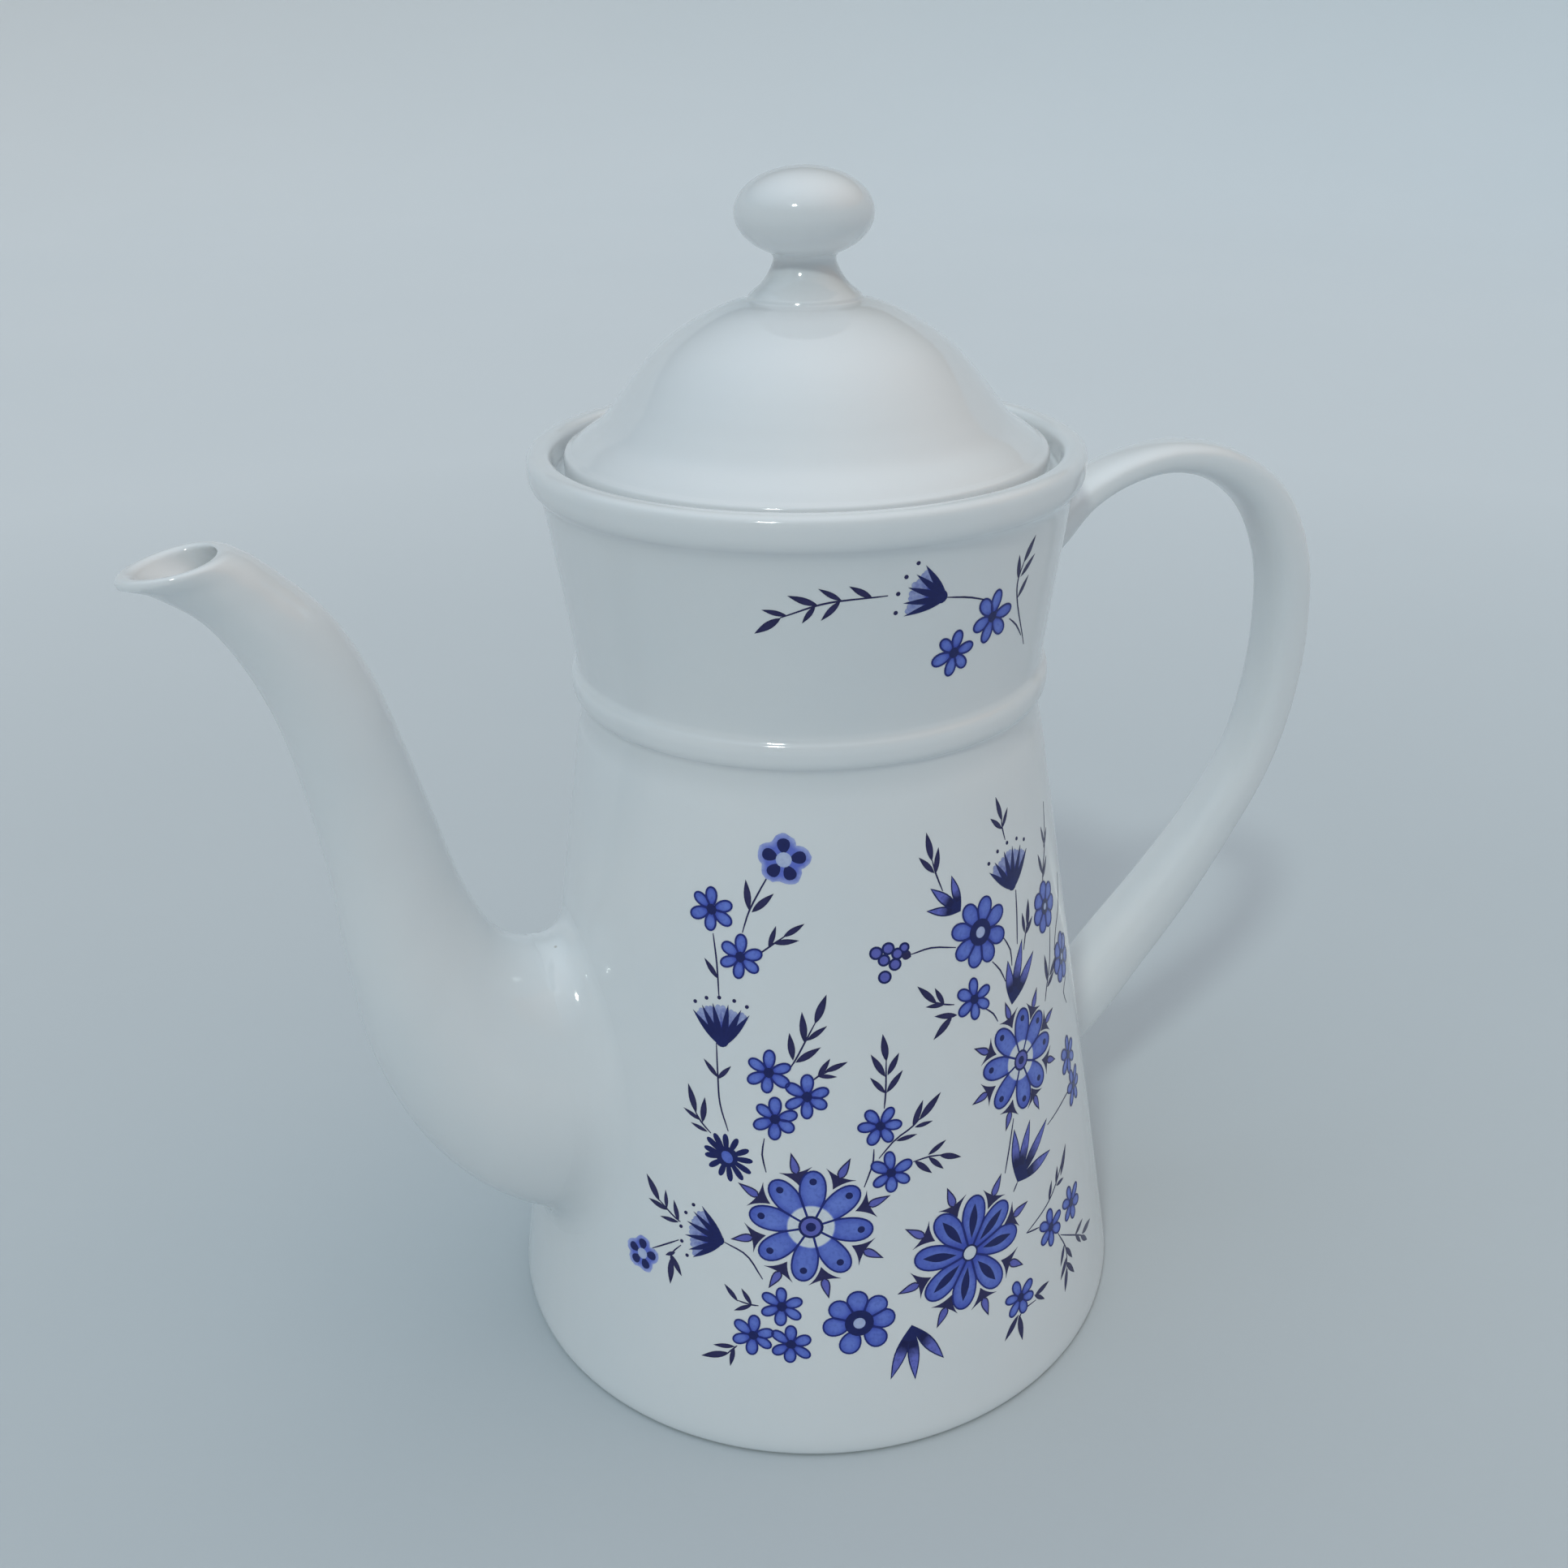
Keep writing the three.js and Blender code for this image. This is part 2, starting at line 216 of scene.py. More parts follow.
def drill(obj, holes, sharp):
    """Cuts round holes, each (start, end, radius) in millimetres, and keeps the piece's materials."""
    drills = bmesh.new()
    for start, end, radius in holes:
        start, end = Vector(start) * MM, Vector(end) * MM
        turn = (end - start).to_track_quat("Z", "Y").to_matrix().to_4x4()
        bmesh.ops.create_cone(
            drills, cap_ends=True, segments=32, radius1=radius * MM, radius2=radius * MM,
            depth=(end - start).length, matrix=Matrix.Translation((start + end) / 2) @ turn,
        )
    cutter_mesh = bpy.data.meshes.new("drill")
    drills.to_mesh(cutter_mesh)
    drills.free()
    cutter = add_object("drill", cutter_mesh)
    cut = obj.modifiers.new("drill", "BOOLEAN")
    cut.object = cutter
    cut.solver = "EXACT"
    bpy.context.view_layer.update()
    done = bpy.data.meshes.new_from_object(obj.evaluated_get(bpy.context.evaluated_depsgraph_get()))
    obj.modifiers.clear()
    obj.data = done
    done.set_sharp_from_angle(angle=math.radians(sharp))
    bpy.data.objects.remove(cutter)


# ---------------------------------------------------------------- materials

DARK, LIGHT = (0.0, 0.0, 0.0), (1.0, 1.0, 1.0)
COLOR_A, COLOR_B, COLOR_RESULT = 6, 7, 2  # a Mix node's colour sockets


class Nodes:
    """Adds shader nodes to a material or world. Each call gives back the new node's output."""

    def __init__(self, owner):
        owner.use_nodes = True
        self.tree = owner.node_tree

    def feed(self, socket, value):
        """Links a socket to another node's output, or sets it to a constant."""
        if isinstance(value, bpy.types.NodeSocket):
            self.tree.links.new(value, socket)
        else:
            socket.default_value = (*value, 1.0) if socket.type == "RGBA" else value

    def add(self, kind, inputs, output=0, **settings):
        node = self.tree.nodes.new("ShaderNode" + kind)
        for name, value in settings.items():
            setattr(node, name, value)
        for name, value in inputs.items():
            self.feed(node.inputs[name], value)
        return node.outputs[output]

    def shade(self, inputs):
        """Feeds the material's Principled shader."""
        for name, value in inputs.items():
            self.feed(self.tree.nodes["Principled BSDF"].inputs[name], value)

    def place(self):
        """The piece's own coordinates, in metres."""
        return self.add("TexCoord", {}, "Object")

    def noise(self, scale, detail=3.0, roughness=0.5):
        """Noise from 0 to 1, at `scale` per metre."""
        return self.add("TexNoise", {
            "Vector": self.place(), "Scale": scale, "Detail": detail, "Roughness": roughness,
        })

    def ramp(self, value, low, high):
        """A colour between two (position, colour) stops."""
        color = self.add("ValToRGB", {"Fac": value})
        for element, (position, tint) in zip(color.node.color_ramp.elements, (low, high)):
            element.position = position
            element.color = (*tint, 1.0)
        return color

    def span(self, value, low, high, start=0.0, end=1.0):
        """Maps start..end to low..high."""
        return self.add("MapRange", {
            "Value": value, "From Min": start, "From Max": end, "To Min": low, "To Max": high,
        })

    def bump(self, height, distance, strength, over=None):
        """A bumped normal, over another one if that is given."""
        inputs = {"Height": height, "Distance": distance, "Strength": strength}
        return self.add("Bump", inputs if over is None else {**inputs, "Normal": over})

    def mix(self, factor, a, b):
        """A colour from a to b."""
        return self.add("Mix", {"Factor": factor, COLOR_A: a, COLOR_B: b}, COLOR_RESULT, data_type="RGBA")

    def math(self, operation, a, b, clamp=False):
        return self.add("Math", {0: a, 1: b}, operation=operation, use_clamp=clamp)


def new_material(name):
    material = bpy.data.materials.new(name)
    return material, Nodes(material)


def porcelain_glaze(name, cool, warm):
    """Clear gloss glaze over white porcelain: faint cloudiness, orange peel, rare iron specks."""
    material, nodes = new_material(name)
    color = nodes.ramp(nodes.noise(26, 4), (0.32, cool), (0.68, warm))
    grains = nodes.add("TexVoronoi", {"Vector": nodes.place(), "Scale": 95})
    near = nodes.ramp(grains, (0.016, LIGHT), (0.035, DARK))
    rare = nodes.ramp(nodes.noise(31, 1), (0.60, DARK), (0.66, LIGHT))
    waves = nodes.bump(nodes.noise(75, 2), 0.00035, 0.10)
    nodes.shade({
        "Base Color": nodes.mix(nodes.math("MULTIPLY", near, rare), color, (0.48, 0.45, 0.40)),
        "Roughness": nodes.span(nodes.noise(55, 5, 0.6), 0.055, 0.13),
        "Normal": nodes.bump(nodes.noise(900, 2), 0.00003, 0.10, waves),
        "IOR": 1.52,
        "Coat Weight": 0.35,
        "Coat Roughness": 0.03,
        "Subsurface Weight": 0.06,
        "Subsurface Radius": (1.0, 0.9, 0.8),
        "Subsurface Scale": 0.0012,
    })
    return material


def biscuit():
    """The bare foot ring: unglazed, matt, a little warmer and grainy."""
    material, nodes = new_material("bare_foot_ring")
    sand = nodes.noise(1400, 4, 0.7)
    nodes.shade({
        "Base Color": nodes.ramp(sand, (0.35, (0.62, 0.58, 0.52)), (0.65, (0.76, 0.73, 0.68))),
        "Roughness": nodes.span(sand, 0.6, 0.8),
        "Normal": nodes.bump(sand, 0.0001, 0.4),
    })
    return material


def ink(name, thin, thick, cloud=240):
    """Printed ceramic ink under gloss, thin to thick by each shape's tone, clouded and finely grained."""
    material, nodes = new_material(name)
    tone = nodes.add("Attribute", {}, "Fac", attribute_name="tone")
    depth = nodes.math("ADD", tone, nodes.span(nodes.noise(cloud), -0.45, 0.45), clamp=True)
    dots = nodes.noise(1500, 2)
    fine = nodes.ramp(dots, (0.30, (0.3, 0.3, 0.3)), (0.52, DARK))
    color = nodes.ramp(depth, (0.0, thin), (1.0, thick))
    nodes.shade({
        "Base Color": nodes.mix(fine, color, tuple(c * 0.75 for c in thick)),
        "Roughness": nodes.span(dots, 0.08, 0.16),
        "Normal": nodes.bump(dots, 0.00001, 0.15),
        "IOR": 1.38,
        "Coat Weight": 0.05,
        "Coat Roughness": 0.04,
    })
    return material


pot_white = porcelain_glaze("pot_glaze", (0.80, 0.835, 0.85), (0.84, 0.86, 0.865))
lid_white = porcelain_glaze("lid_glaze", (0.81, 0.84, 0.855), (0.845, 0.865, 0.87))
foot_bare = biscuit()

NAVY, BLUE, LEAF, PALE, MIST, WHITE, VIOLET, WASH, BUD, LINE_BLUE = range(10)
INKS = [
    ink("ink_navy", (0.009, 0.018, 0.15), (0.005, 0.010, 0.10)),
    ink("ink_blue", (0.175, 0.265, 0.77), (0.055, 0.09, 0.52)),
    ink("ink_leaf", (0.034, 0.030, 0.13), (0.014, 0.014, 0.078)),
    ink("ink_pale_blue", (0.45, 0.52, 0.84), (0.13, 0.18, 0.66)),
    ink("ink_mist", (0.60, 0.67, 0.84), (0.42, 0.50, 0.80)),
    ink("ink_reserve_white", (0.80, 0.84, 0.87), (0.70, 0.76, 0.84)),
    ink("ink_violet", (0.15, 0.165, 0.58), (0.10, 0.115, 0.47)),
    ink("ink_wash", (0.50, 0.57, 0.82), (0.05, 0.075, 0.44), cloud=900),
    ink("ink_bud", (0.15, 0.175, 0.62), (0.006, 0.009, 0.09), cloud=700),
    ink("ink_outline", (0.018, 0.034, 0.27), (0.008, 0.016, 0.17)),
]


# ---------------------------------------------------------------- the pot

def on_foot_flat(vertex):
    return vertex[2] < FOOT_FLAT_Z and math.hypot(vertex[0], vertex[1]) > FOOT_INNER_R


def make_pot():
    """The cone, waist bead, neck, lip, ledge and inside, with bare porcelain under the foot ring."""
    foot_corner = BASE_R + BASE_Z * CONE_SLOPE
    vertices, faces = lathe(rounded([
        (0, 2.4, 0), (54.0, 2.4, 0.8), (55.2, 0, 0.5), (58.6, 0, 0.4), (foot_corner, 0.05, 4.5),
        (CONE_TOP_R, CONE_TOP_Z, 5), (41.3, 124.2, 2.2), (41.3, 128.3, 0.9),
        (42.5, 129.4, 1.3), (42.5, 132.5, 1.3), (41.35, 133.8, 1.0), (NECK_LOW_R, NECK_LOW_Z, 1.2),
        (neck_radius(163), 163, 1.4), (45.5, 164.8, 1.2), (47.1, 166.4, 1.8),
        (47.1, LIP_TOP, 2.1), (42.9, LIP_TOP, 2.1), (42.7, 166.9, 0.6), (42.1, 166.6, 0.5),
        (39.4, 166.6, 0.8), (39.4, 150, 6), (37.5, 134, 5), (37.5, 122, 8),
        (56.2, 12, 4), (55.4, 7, 5), (0, 7, 0),
    ], 8), POT_FACETS)
    bare = [int(all(on_foot_flat(vertices[i]) for i in face)) for face in faces]
    pot = piece("pot_shell", vertices, faces, [pot_white, foot_bare], "pot",
                ["pot_body"], SHARP, bare)
    strainer_z, ring_r, hole_r = 56.0, 10.0, 2.6
    places = [(0.0, strainer_z)] + [
        (ring_r * math.cos(a), strainer_z + ring_r * math.sin(a))
        for a in (k * math.pi / 3 for k in range(6))
    ]
    drill(pot, [((40, y, z), (60, y, z), hole_r) for y, z in places], SHARP)


# ---------------------------------------------------------------- spout and handle

def section(upper, lower, half_width, inset, count, shape):
    """One closed cross-section between (x, z) places on the upper and lower rail."""
    upper, lower = np.array((upper[0], 0, upper[1])), np.array((lower[0], 0, lower[1]))
    centre = (upper + lower) / 2
    across = lower - upper
    half_depth = np.linalg.norm(across) / 2 - inset
    across = across / np.linalg.norm(across)
    points = []
    for i in range(count):
        depth, width = shape(2 * math.pi * i / count)
        p = centre + across * depth * half_depth
        p[1] += width * (half_width - inset)
        points.append(p)
    return points


def along(values, t):
    """The value at t from 0 to 1 along an evenly spaced list."""
    at = t * (len(values) - 1)
    low = min(int(at), len(values) - 2)
    return values[low] + (values[low + 1] - values[low]) * (at - low)


def distances(line):
    """How far along the polyline each of its points is."""
    return np.r_[0, np.cumsum(np.linalg.norm(np.diff(line, axis=0), axis=1))]


def resample(line, count):
    """The polyline's points at equal steps of length."""
    line = np.array(line)
    steps = distances(line)
    at = np.linspace(0, steps[-1], count)
    return np.stack([np.interp(at, steps, line[:, k]) for k in range(3)], 1)


def outside_wall(p):
    return math.hypot(p[0], p[1]) - wall_radius(p[2])


def wall_normal(p):
    n = np.array((p[0], p[1], -math.hypot(p[0], p[1]) * steepness(p[2])))
    return n / np.linalg.norm(n)


def on_wall(p):
    """The nearest point of the wall at the same height."""
    grow = wall_radius(p[2]) / math.hypot(p[0], p[1])
    return np.array((p[0] * grow, p[1] * grow, p[2]))


def rooted(line, centre, fillet, spread, steps=7):
    """A tube's line that starts inside the pot, cut at the wall and given a luted fillet there.

    The fillet leaves the line `fillet` mm out from the wall and meets the wall `spread` mm aside."""
    fine = resample(line, 500)
    near_root = fine[:400]
    last_inside = max(i for i, p in enumerate(near_root) if outside_wall(p) < 0)
    crossing = on_wall(fine[last_inside])
    outer = fine[last_inside + 1:]
    start = int(np.searchsorted(distances(outer), fillet))
    normal = wall_normal(crossing)
    aside = crossing - centre
    aside -= normal * (aside @ normal)
    aside /= max(np.linalg.norm(aside), 1e-9)
    end = on_wall(crossing + aside * spread)
    bent = [quadratic(end, crossing, outer[start], k / steps) for k in range(steps + 1)]
    return [end - wall_normal(end) * SINK, *bent], outer[start:]


def tube(name, columns, closed, node):
    """Makes a piece of the pot from lines of points that run along a tube."""
    rows, count = len(columns[0]), len(columns)
    vertices = [tuple(column[i]) for i in range(rows) for column in columns]
    faces = bands(rows, count, 0, closed)
    if not closed:
        faces += [tuple(range(count)), tuple((rows - 1) * count + k for k in range(count))]
    piece(name, vertices, faces, [pot_white], "pot", [node], SHARP_FINE)


# The rails are (x, z) places along the spout's and the handle's two edges, from root to root or mouth.
SPOUT_LOWER = [
    (44, 28), (56, 29), (69, 37.5), (79, 51.5), (85, 69), (87, 88), (87.5, 104.5),
    (89, 119.5), (91.5, 134.5), (95.5, 146), (100, 153.5), (105.2, 157.8), (111.2, 161.5),
]
SPOUT_UPPER = [
    (44, 84), (53.3, 84.5), (58.3, 86.7), (61.6, 90.3), (64.1, 95.6), (66.3, 102), (68.8, 112.7),
    (72.2, 127), (76.2, 141.5), (81.2, 152), (87, 158.6), (91.2, 162.5), (94.2, 164.3),
]
SPOUT_HALF_WIDTHS = [21.5, 21, 19, 16.5, 14, 12, 10.5, 9.5, 8.6, 7.9, 7.3, 7.4, 8.2]
SPOUT_EGG = [0.12, 0.12, 0.1, 0.08, 0.05, 0.02, 0, 0, 0, 0, 0, -0.05, -0.16]


def spout_rings(root_wall, mouth_wall, tip_wall, stations, count):
    """Rings along the spout, let in by a wall that is `tip_wall` thicker under the tip."""
    rings = []
    for i in range(stations + 1):
        t = i / stations
        upper, lower = catmull(SPOUT_UPPER, t), catmull(SPOUT_LOWER, t)
        lower = lower + (upper - lower) / np.linalg.norm(upper - lower) * tip_wall * max(0, t - 0.8) / 0.2
        egg = along(SPOUT_EGG, t)
        wall = root_wall + (mouth_wall - root_wall) * min(1, t * 1.6)
        rings.append(section(
            upper, lower, along(SPOUT_HALF_WIDTHS, t), wall, count,
            lambda a: (math.cos(a), math.sin(a) * (1 + egg * math.cos(a))),
        ))
    return np.array(rings)


def make_spout():
    """The spout's skin, its bore and a lip that is rounded at the back of the mouth and blunt at the tip."""
    count, stations, length = 72, 96, 90
    root_station, lip_rows, bore_start = 8, 3, -1.5
    skin = spout_rings(0, 0, 0, stations, count)
    bore = spout_rings(4.2, 2.1, 0.9, stations, count)
    root_centre = skin.mean(axis=1)[root_station]
    mouth = np.array(SPOUT_LOWER[-1], float) - SPOUT_UPPER[-1]
    from_mouth = np.array((-mouth[1], 0, mouth[0])) / np.linalg.norm(mouth)
    columns = []
    for j in range(count):
        root, rest = rooted(skin[:, j], root_centre, 6.0, 5.0)
        rest = resample(rest, length + 1)
        out = rest[-1] - rest[-2]
        blunt = (1 + math.cos(2 * math.pi * j / count)) / 2  # 1 under the tip, 0 at the back of the mouth
        lean, lip_round = 0.65 * blunt, 1.1 + 0.5 * blunt
        out = (1 - lean) * out / np.linalg.norm(out) + lean * from_mouth
        out /= np.linalg.norm(out)
        outer_end, inner_end = rest[-1] - out * lip_round, bore[-1, j] - out * lip_round
        middle, half = (outer_end + inner_end) / 2, (outer_end - inner_end) / 2
        rim = [
            middle + half * math.cos(a) + out * lip_round * math.sin(a)
            for a in (math.pi * k / 8 for k in range(9))
        ]
        inner = resample([p for p in bore[:, j] if outside_wall(p) > bore_start], length)
        columns.append([*root, *rest[:-lip_rows], *rim, *inner[::-1][lip_rows:]])
    tube("spout_shell", columns, True, "spout")


HANDLE_OUTER = [
    (-40, 151.5), (-47.6, 155), (-54.3, 159), (-63, 162.2), (-74, 163.6), (-86.3, 161.3),
    (-98.6, 153.5), (-106.5, 140), (-108.9, 124), (-108, 108), (-103.4, 92), (-95.4, 77.4),
    (-86, 63.3), (-75.5, 50.2), (-64.5, 37.5), (-50, 26),
]
HANDLE_INNER = [
    (-40, 138.5), (-48.8, 146), (-55.2, 152.8), (-63, 156.6), (-72.3, 157.9), (-82.3, 155.3),
    (-91.7, 148.3), (-97.5, 137.2), (-99.4, 124), (-98.7, 110), (-95.2, 95.6), (-87.4, 82.7),
    (-77.4, 70.5), (-67, 59.5), (-58.5, 50), (-49, 41),
]
HANDLE_HALF_WIDTHS = [6.5, 6, 5.6, 5.4, 5.4, 5.5, 5.6, 5.7, 5.8, 5.9, 6, 6.2, 6.6, 6.9, 7.3, 7.8]
HANDLE_SQUARENESS = 2.6


def strap(a):
    """Where the handle's rounded oblong section is at an angle."""
    power = 2 / HANDLE_SQUARENESS
    return tuple(math.copysign(abs(part) ** power, part) for part in (math.cos(a), math.sin(a)))


def make_handle():
    """The strap, rooted in the pot's wall at both ends."""
    count, stations, length = 48, 140, 110
    upper_root, lower_root = 6, -9
    rings = np.array([
        section(catmull(HANDLE_OUTER, i / stations), catmull(HANDLE_INNER, i / stations),
                along(HANDLE_HALF_WIDTHS, i / stations), 0, count, strap)
        for i in range(stations + 1)
    ])
    axis = rings.mean(axis=1)
    columns = []
    for j in range(count):
        upper, rest = rooted(rings[:, j], axis[upper_root], 3.2, 2.6)
        lower, middle = rooted(rest[::-1], axis[lower_root], 4.0, 3.4)
        columns.append([*upper, *resample(middle[::-1], length)[1:-1], *lower[::-1]])
    tube("handle_strap", columns, False, "handle")


# ---------------------------------------------------------------- the lid and its knob

def make_lid():
    """The dome, its rim and collar, and the knob that grows out of it, as one casting."""
    seat, hollow_top = 166.9, 190.4
    cavity = curve([(6, 190.2), (16, 187.6), (24, 183.2), (28, 178), (31.5, 173.2), (35.2, 168.5)], 40)
    rim = rounded([
        (35.2, 168.5, 0), (35.2, COLLAR_BOTTOM, 1), (38.3, COLLAR_BOTTOM, 1), (38.3, seat, 0.4),
        (LID_EDGE_R, seat, 0.6), (LID_EDGE_R, 170.6, 1.5), (39.6, 171.2, 0),
    ])
    dome = curve([
        (39.6, 171.2), (38.2, 172.3), (34.9, 174.6), (32.25, 177.6), (29.6, 181.0), (26.7, 184.4),
        (23.5, 187.4), (19, 190.4), (14.6, 192.6), (11.8, 193.6), (10.2, 194.0), (9.5, 194.3),
        (9.15, 194.85), (8.5, 195.45), (7.5, 196.25), (6.5, 197.4), (5.55, 199), (5.1, 200.5), (5.5, 201.3),
    ], 170)
    ball_half, start = 7.0, math.radians(-59)
    ball = [
        (KNOB_R * math.cos(a), KNOB_TOP - ball_half + ball_half * math.sin(a))
        for a in (start + (math.pi / 2 - start) * k / 44 for k in range(45))
    ]
    vertices, faces = lathe(
        [(0, hollow_top)] + cavity[:-1] + rim[:-1] + dome + ball[:-1] + [(0, KNOB_TOP)], LID_FACETS
    )
    lid = piece("lid_shell", vertices, faces, [lid_white], "lid",
                ["lid", "lid_knob"], SHARP_LID)
    vent_x, vent_y, vent_r = -7.9, -19.5, 1.6
    drill(lid, [((vent_x, vent_y, 178), (vent_x, vent_y, 196), vent_r)], SHARP_LID)


make_pot()
make_spout()
make_handle()
make_lid()

# ---------------------------------------------------------------- the print

FIRST_LIFT = 0.034  # how far the lowest layer of ink stands off the wall
LAYER = 0.009
STAGGER, STAGGER_STEPS = 0.0004, 12  # keeps shapes of one layer apart where they cross
BURIED = 0.03  # how deep each shape's underside lies in the wall
LINE = 0.31  # width of an outline
STEM = 0.31
HEART_R = 0.95
STAMEN_R = 0.36
hand = random.Random(7)


class Sheet:
    """Collects closed, paper-thin shapes that follow the pot's wall."""

    def __init__(self):
        self.vertices, self.normals, self.tones = [], [], []
        self.faces, self.inks = [], []
        self.count = 0

    def add(self, at, turn, form, ink_number, layer, shift=(0, 0)):
        """Lays a shape at an (azimuth, height), turned by degrees, on one of the layers of ink.

        Its x runs round the pot, growing with azimuth, and its y runs up the wall."""
        points, outline, triangles, tones = form
        c, s = math.cos(math.radians(turn)), math.sin(math.radians(turn))
        found = [Vector((shift[0] + x * c - y * s, shift[1] + x * s + y * c)) for x, y in points]
        if triangles is None:
            found, _, triangles, origins, _, _ = delaunay_2d_cdt(found, [], [outline], 1, 1e-6)
            tones = [tones[came_from[0]] if came_from else 0.5 for came_from in origins]
        grow = steepness(at[1])
        up = 1 / math.hypot(1, grow)
        lift = FIRST_LIFT + LAYER * layer + STAGGER * (self.count % STAGGER_STEPS)
        self.count += 1
        first, below = len(self.vertices), len(found)
        for out in (lift, -BURIED):
            for v, tone in zip(found, tones):
                z = at[1] + v.y * up
                r = wall_radius(z)
                a = math.radians(at[0]) + v.x / r
                normal = (math.cos(a) * up, math.sin(a) * up, -grow * up)
                place = (r * math.cos(a), r * math.sin(a), z)
                self.vertices.append([p + n * out for p, n in zip(place, normal)])
                self.normals.append(normal)
                self.tones.append(tone)
        sides = {(t[i], t[(i + 1) % 3]) for t in triangles for i in range(3)}
        rim = sorted((a, b) for a, b in sides if (b, a) not in sides)
        new = [tuple(first + i for i in t) for t in triangles]
        new += [tuple(first + below + i for i in reversed(t)) for t in triangles]
        new += [(first + b, first + a, first + below + a, first + below + b) for a, b in rim]
        self.faces += new
        self.inks += [ink_number] * len(new)

    def make(self, name, turn):
        """Makes the sheet into a piece, turned by degrees round the pot's axis."""
        c, s = math.cos(math.radians(turn)), math.sin(math.radians(turn))
        spin = np.array(((c, -s, 0), (s, c, 0), (0, 0, 1)))
        mesh = bpy.data.meshes.new(name)
        mesh.from_pydata((np.array(self.vertices) @ spin.T * MM).tolist(), [], self.faces)
        for material in INKS:
            mesh.materials.append(material)
        mesh.polygons.foreach_set("material_index", self.inks)
        mesh.polygons.foreach_set("use_smooth", [True] * len(self.faces))
        mesh.attributes.new("tone", "FLOAT", "POINT").data.foreach_set("value", self.tones)
        mesh.normals_split_custom_set_from_vertices((np.array(self.normals) @ spin.T).tolist())
        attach(add_object(name, mesh), "pot")


def shape(outline, inner=(), edge=0.5, middle=0.5, root=0.0):
    """An outline with smaller copies of itself inside, as points with a tone from 0, thin, to 1, thick.

    `edge` and `middle` are the tones there, and `root` is added where x is least."""
    outline = np.array(outline)
    centre = outline.mean(axis=0)
    low, high = outline[:, 0].min(), outline[:, 0].max()
    points, tones = [], []
    for scale in (1.0, *inner):
        ring = outline if scale == 1 else outline[::2]
        for x, y in centre + (ring - centre) * scale:
            points.append((x, y))
            near_root = max(0.0, 1 - (x - low) / (0.5 * (high - low)))
            tones.append(middle + (edge - middle) * scale ** 2 + root * near_root)
    return points, list(range(len(outline))), None, tones


def outline_of(loop, width=LINE):
    """A closed line along a loop, as a shape."""
    loop = np.array(loop)
    n = len(loop)
    direction = np.roll(loop, -1, 0) - np.roll(loop, 1, 0)
    direction /= np.linalg.norm(direction, axis=1)[:, None]
    aside = np.stack([direction[:, 1], -direction[:, 0]], 1) * width / 2
    triangles = []
    for i in range(n):
        j = (i + 1) % n
        triangles += [(i, j, n + j), (i, n + j, n + i)]
    return np.concatenate([loop + aside, loop - aside]), None, triangles, [0.6] * (2 * n)


def petal_half(x, length, width, root, taper):
    """Half the width of a petal at x."""
    u = min(max((x - root) / length, 0.0), 1.0)
    return width / 2 * math.sqrt(4 * u * (1 - u)) * (1 - taper + 1.5 * taper * u) / (1 - 0.15 * taper)


def petal(length, width, root, taper, count, room=(90, 90), trim=0.0):
    """A petal's outline along +x, from x = root out, fullest towards the tip.

    `room` is how many degrees it may spread below and above its axis before it meets a neighbour."""
    points = []
    for i in range(count):
        a = 2 * math.pi * i / count
        x = root + length * (1 - math.cos(a)) / 2
        free = room[0] if math.sin(a) > 0 else room[1]
        shared = max(0.02, x * math.tan(math.radians(min(free, 89))) - trim)
        half = min(petal_half(x, length, width, root, taper), shared)
        points.append((x, -math.copysign(half, math.sin(a))))
    return points


def rooms(angles):
    """For petals at these angles, half the gap to the neighbour below and above each."""
    found = []
    for a in angles:
        above = min((b - a) % 360 for b in angles if b != a)
        below = min((a - b) % 360 for b in angles if b != a)
        found.append((a, (below / 2, above / 2)))
    return found


def leaf_half(u, width, fullest):
    return width / 2 * math.sin(math.pi * u ** (math.log(0.5) / math.log(fullest)))


def leaf(length, width, start=0.0, fullest=0.42, steps=7):
    """The outline of a leaf along +x from x = start, pointed at both ends."""
    low = [(start + length * k / steps, -leaf_half(k / steps, width, fullest)) for k in range(steps + 1)]
    return low + [(x, -y) for x, y in low[-2:0:-1]]


def disc(radius, count, squash=1.0, turn=0.0):
    angles = [2 * math.pi * k / count for k in range(count)]
    return [turned((radius * math.cos(a), radius * squash * math.sin(a)), turn) for a in angles]


def bend(start, control, end, steps=5):
    """Points of a quadratic curve, without its end."""
    start, control, end = (np.array(p, float) for p in (start, control, end))
    return [tuple(quadratic(start, control, end, k / steps)) for k in range(steps)]


def ribbon(path, width, thin=0.5):
    """The outline of a brush stroke through (x, y) points, thinner at its two ends."""
    length = sum(math.dist(a, b) for a, b in zip(path, path[1:]))
    line = np.array(curve(path, max(5, int(length / 1.2))))
    direction = np.gradient(line, axis=0)
    direction /= np.linalg.norm(direction, axis=1)[:, None]
    aside = np.stack([direction[:, 1], -direction[:, 0]], 1)
    t = np.linspace(0, 1, len(line))
    half = width / 2 * (thin + (1 - thin) * np.sin(np.pi * t) ** 0.5)
    return list(line + aside * half[:, None]) + list((line - aside * half[:, None])[::-1])


def between(origin, place):
    """(x, y) millimetres from one (azimuth, height) to another along the wall."""
    up = 1 / math.hypot(1, steepness(origin[1]))
    x = math.radians(place[0] - origin[0]) * wall_radius(place[1])
    return x, (place[1] - origin[1]) / up


def stroke(sheet, places):
    path = [between(places[0], place) for place in places]
    sheet.add(places[0], 0, shape(ribbon(path, STEM)), LEAF, 0)


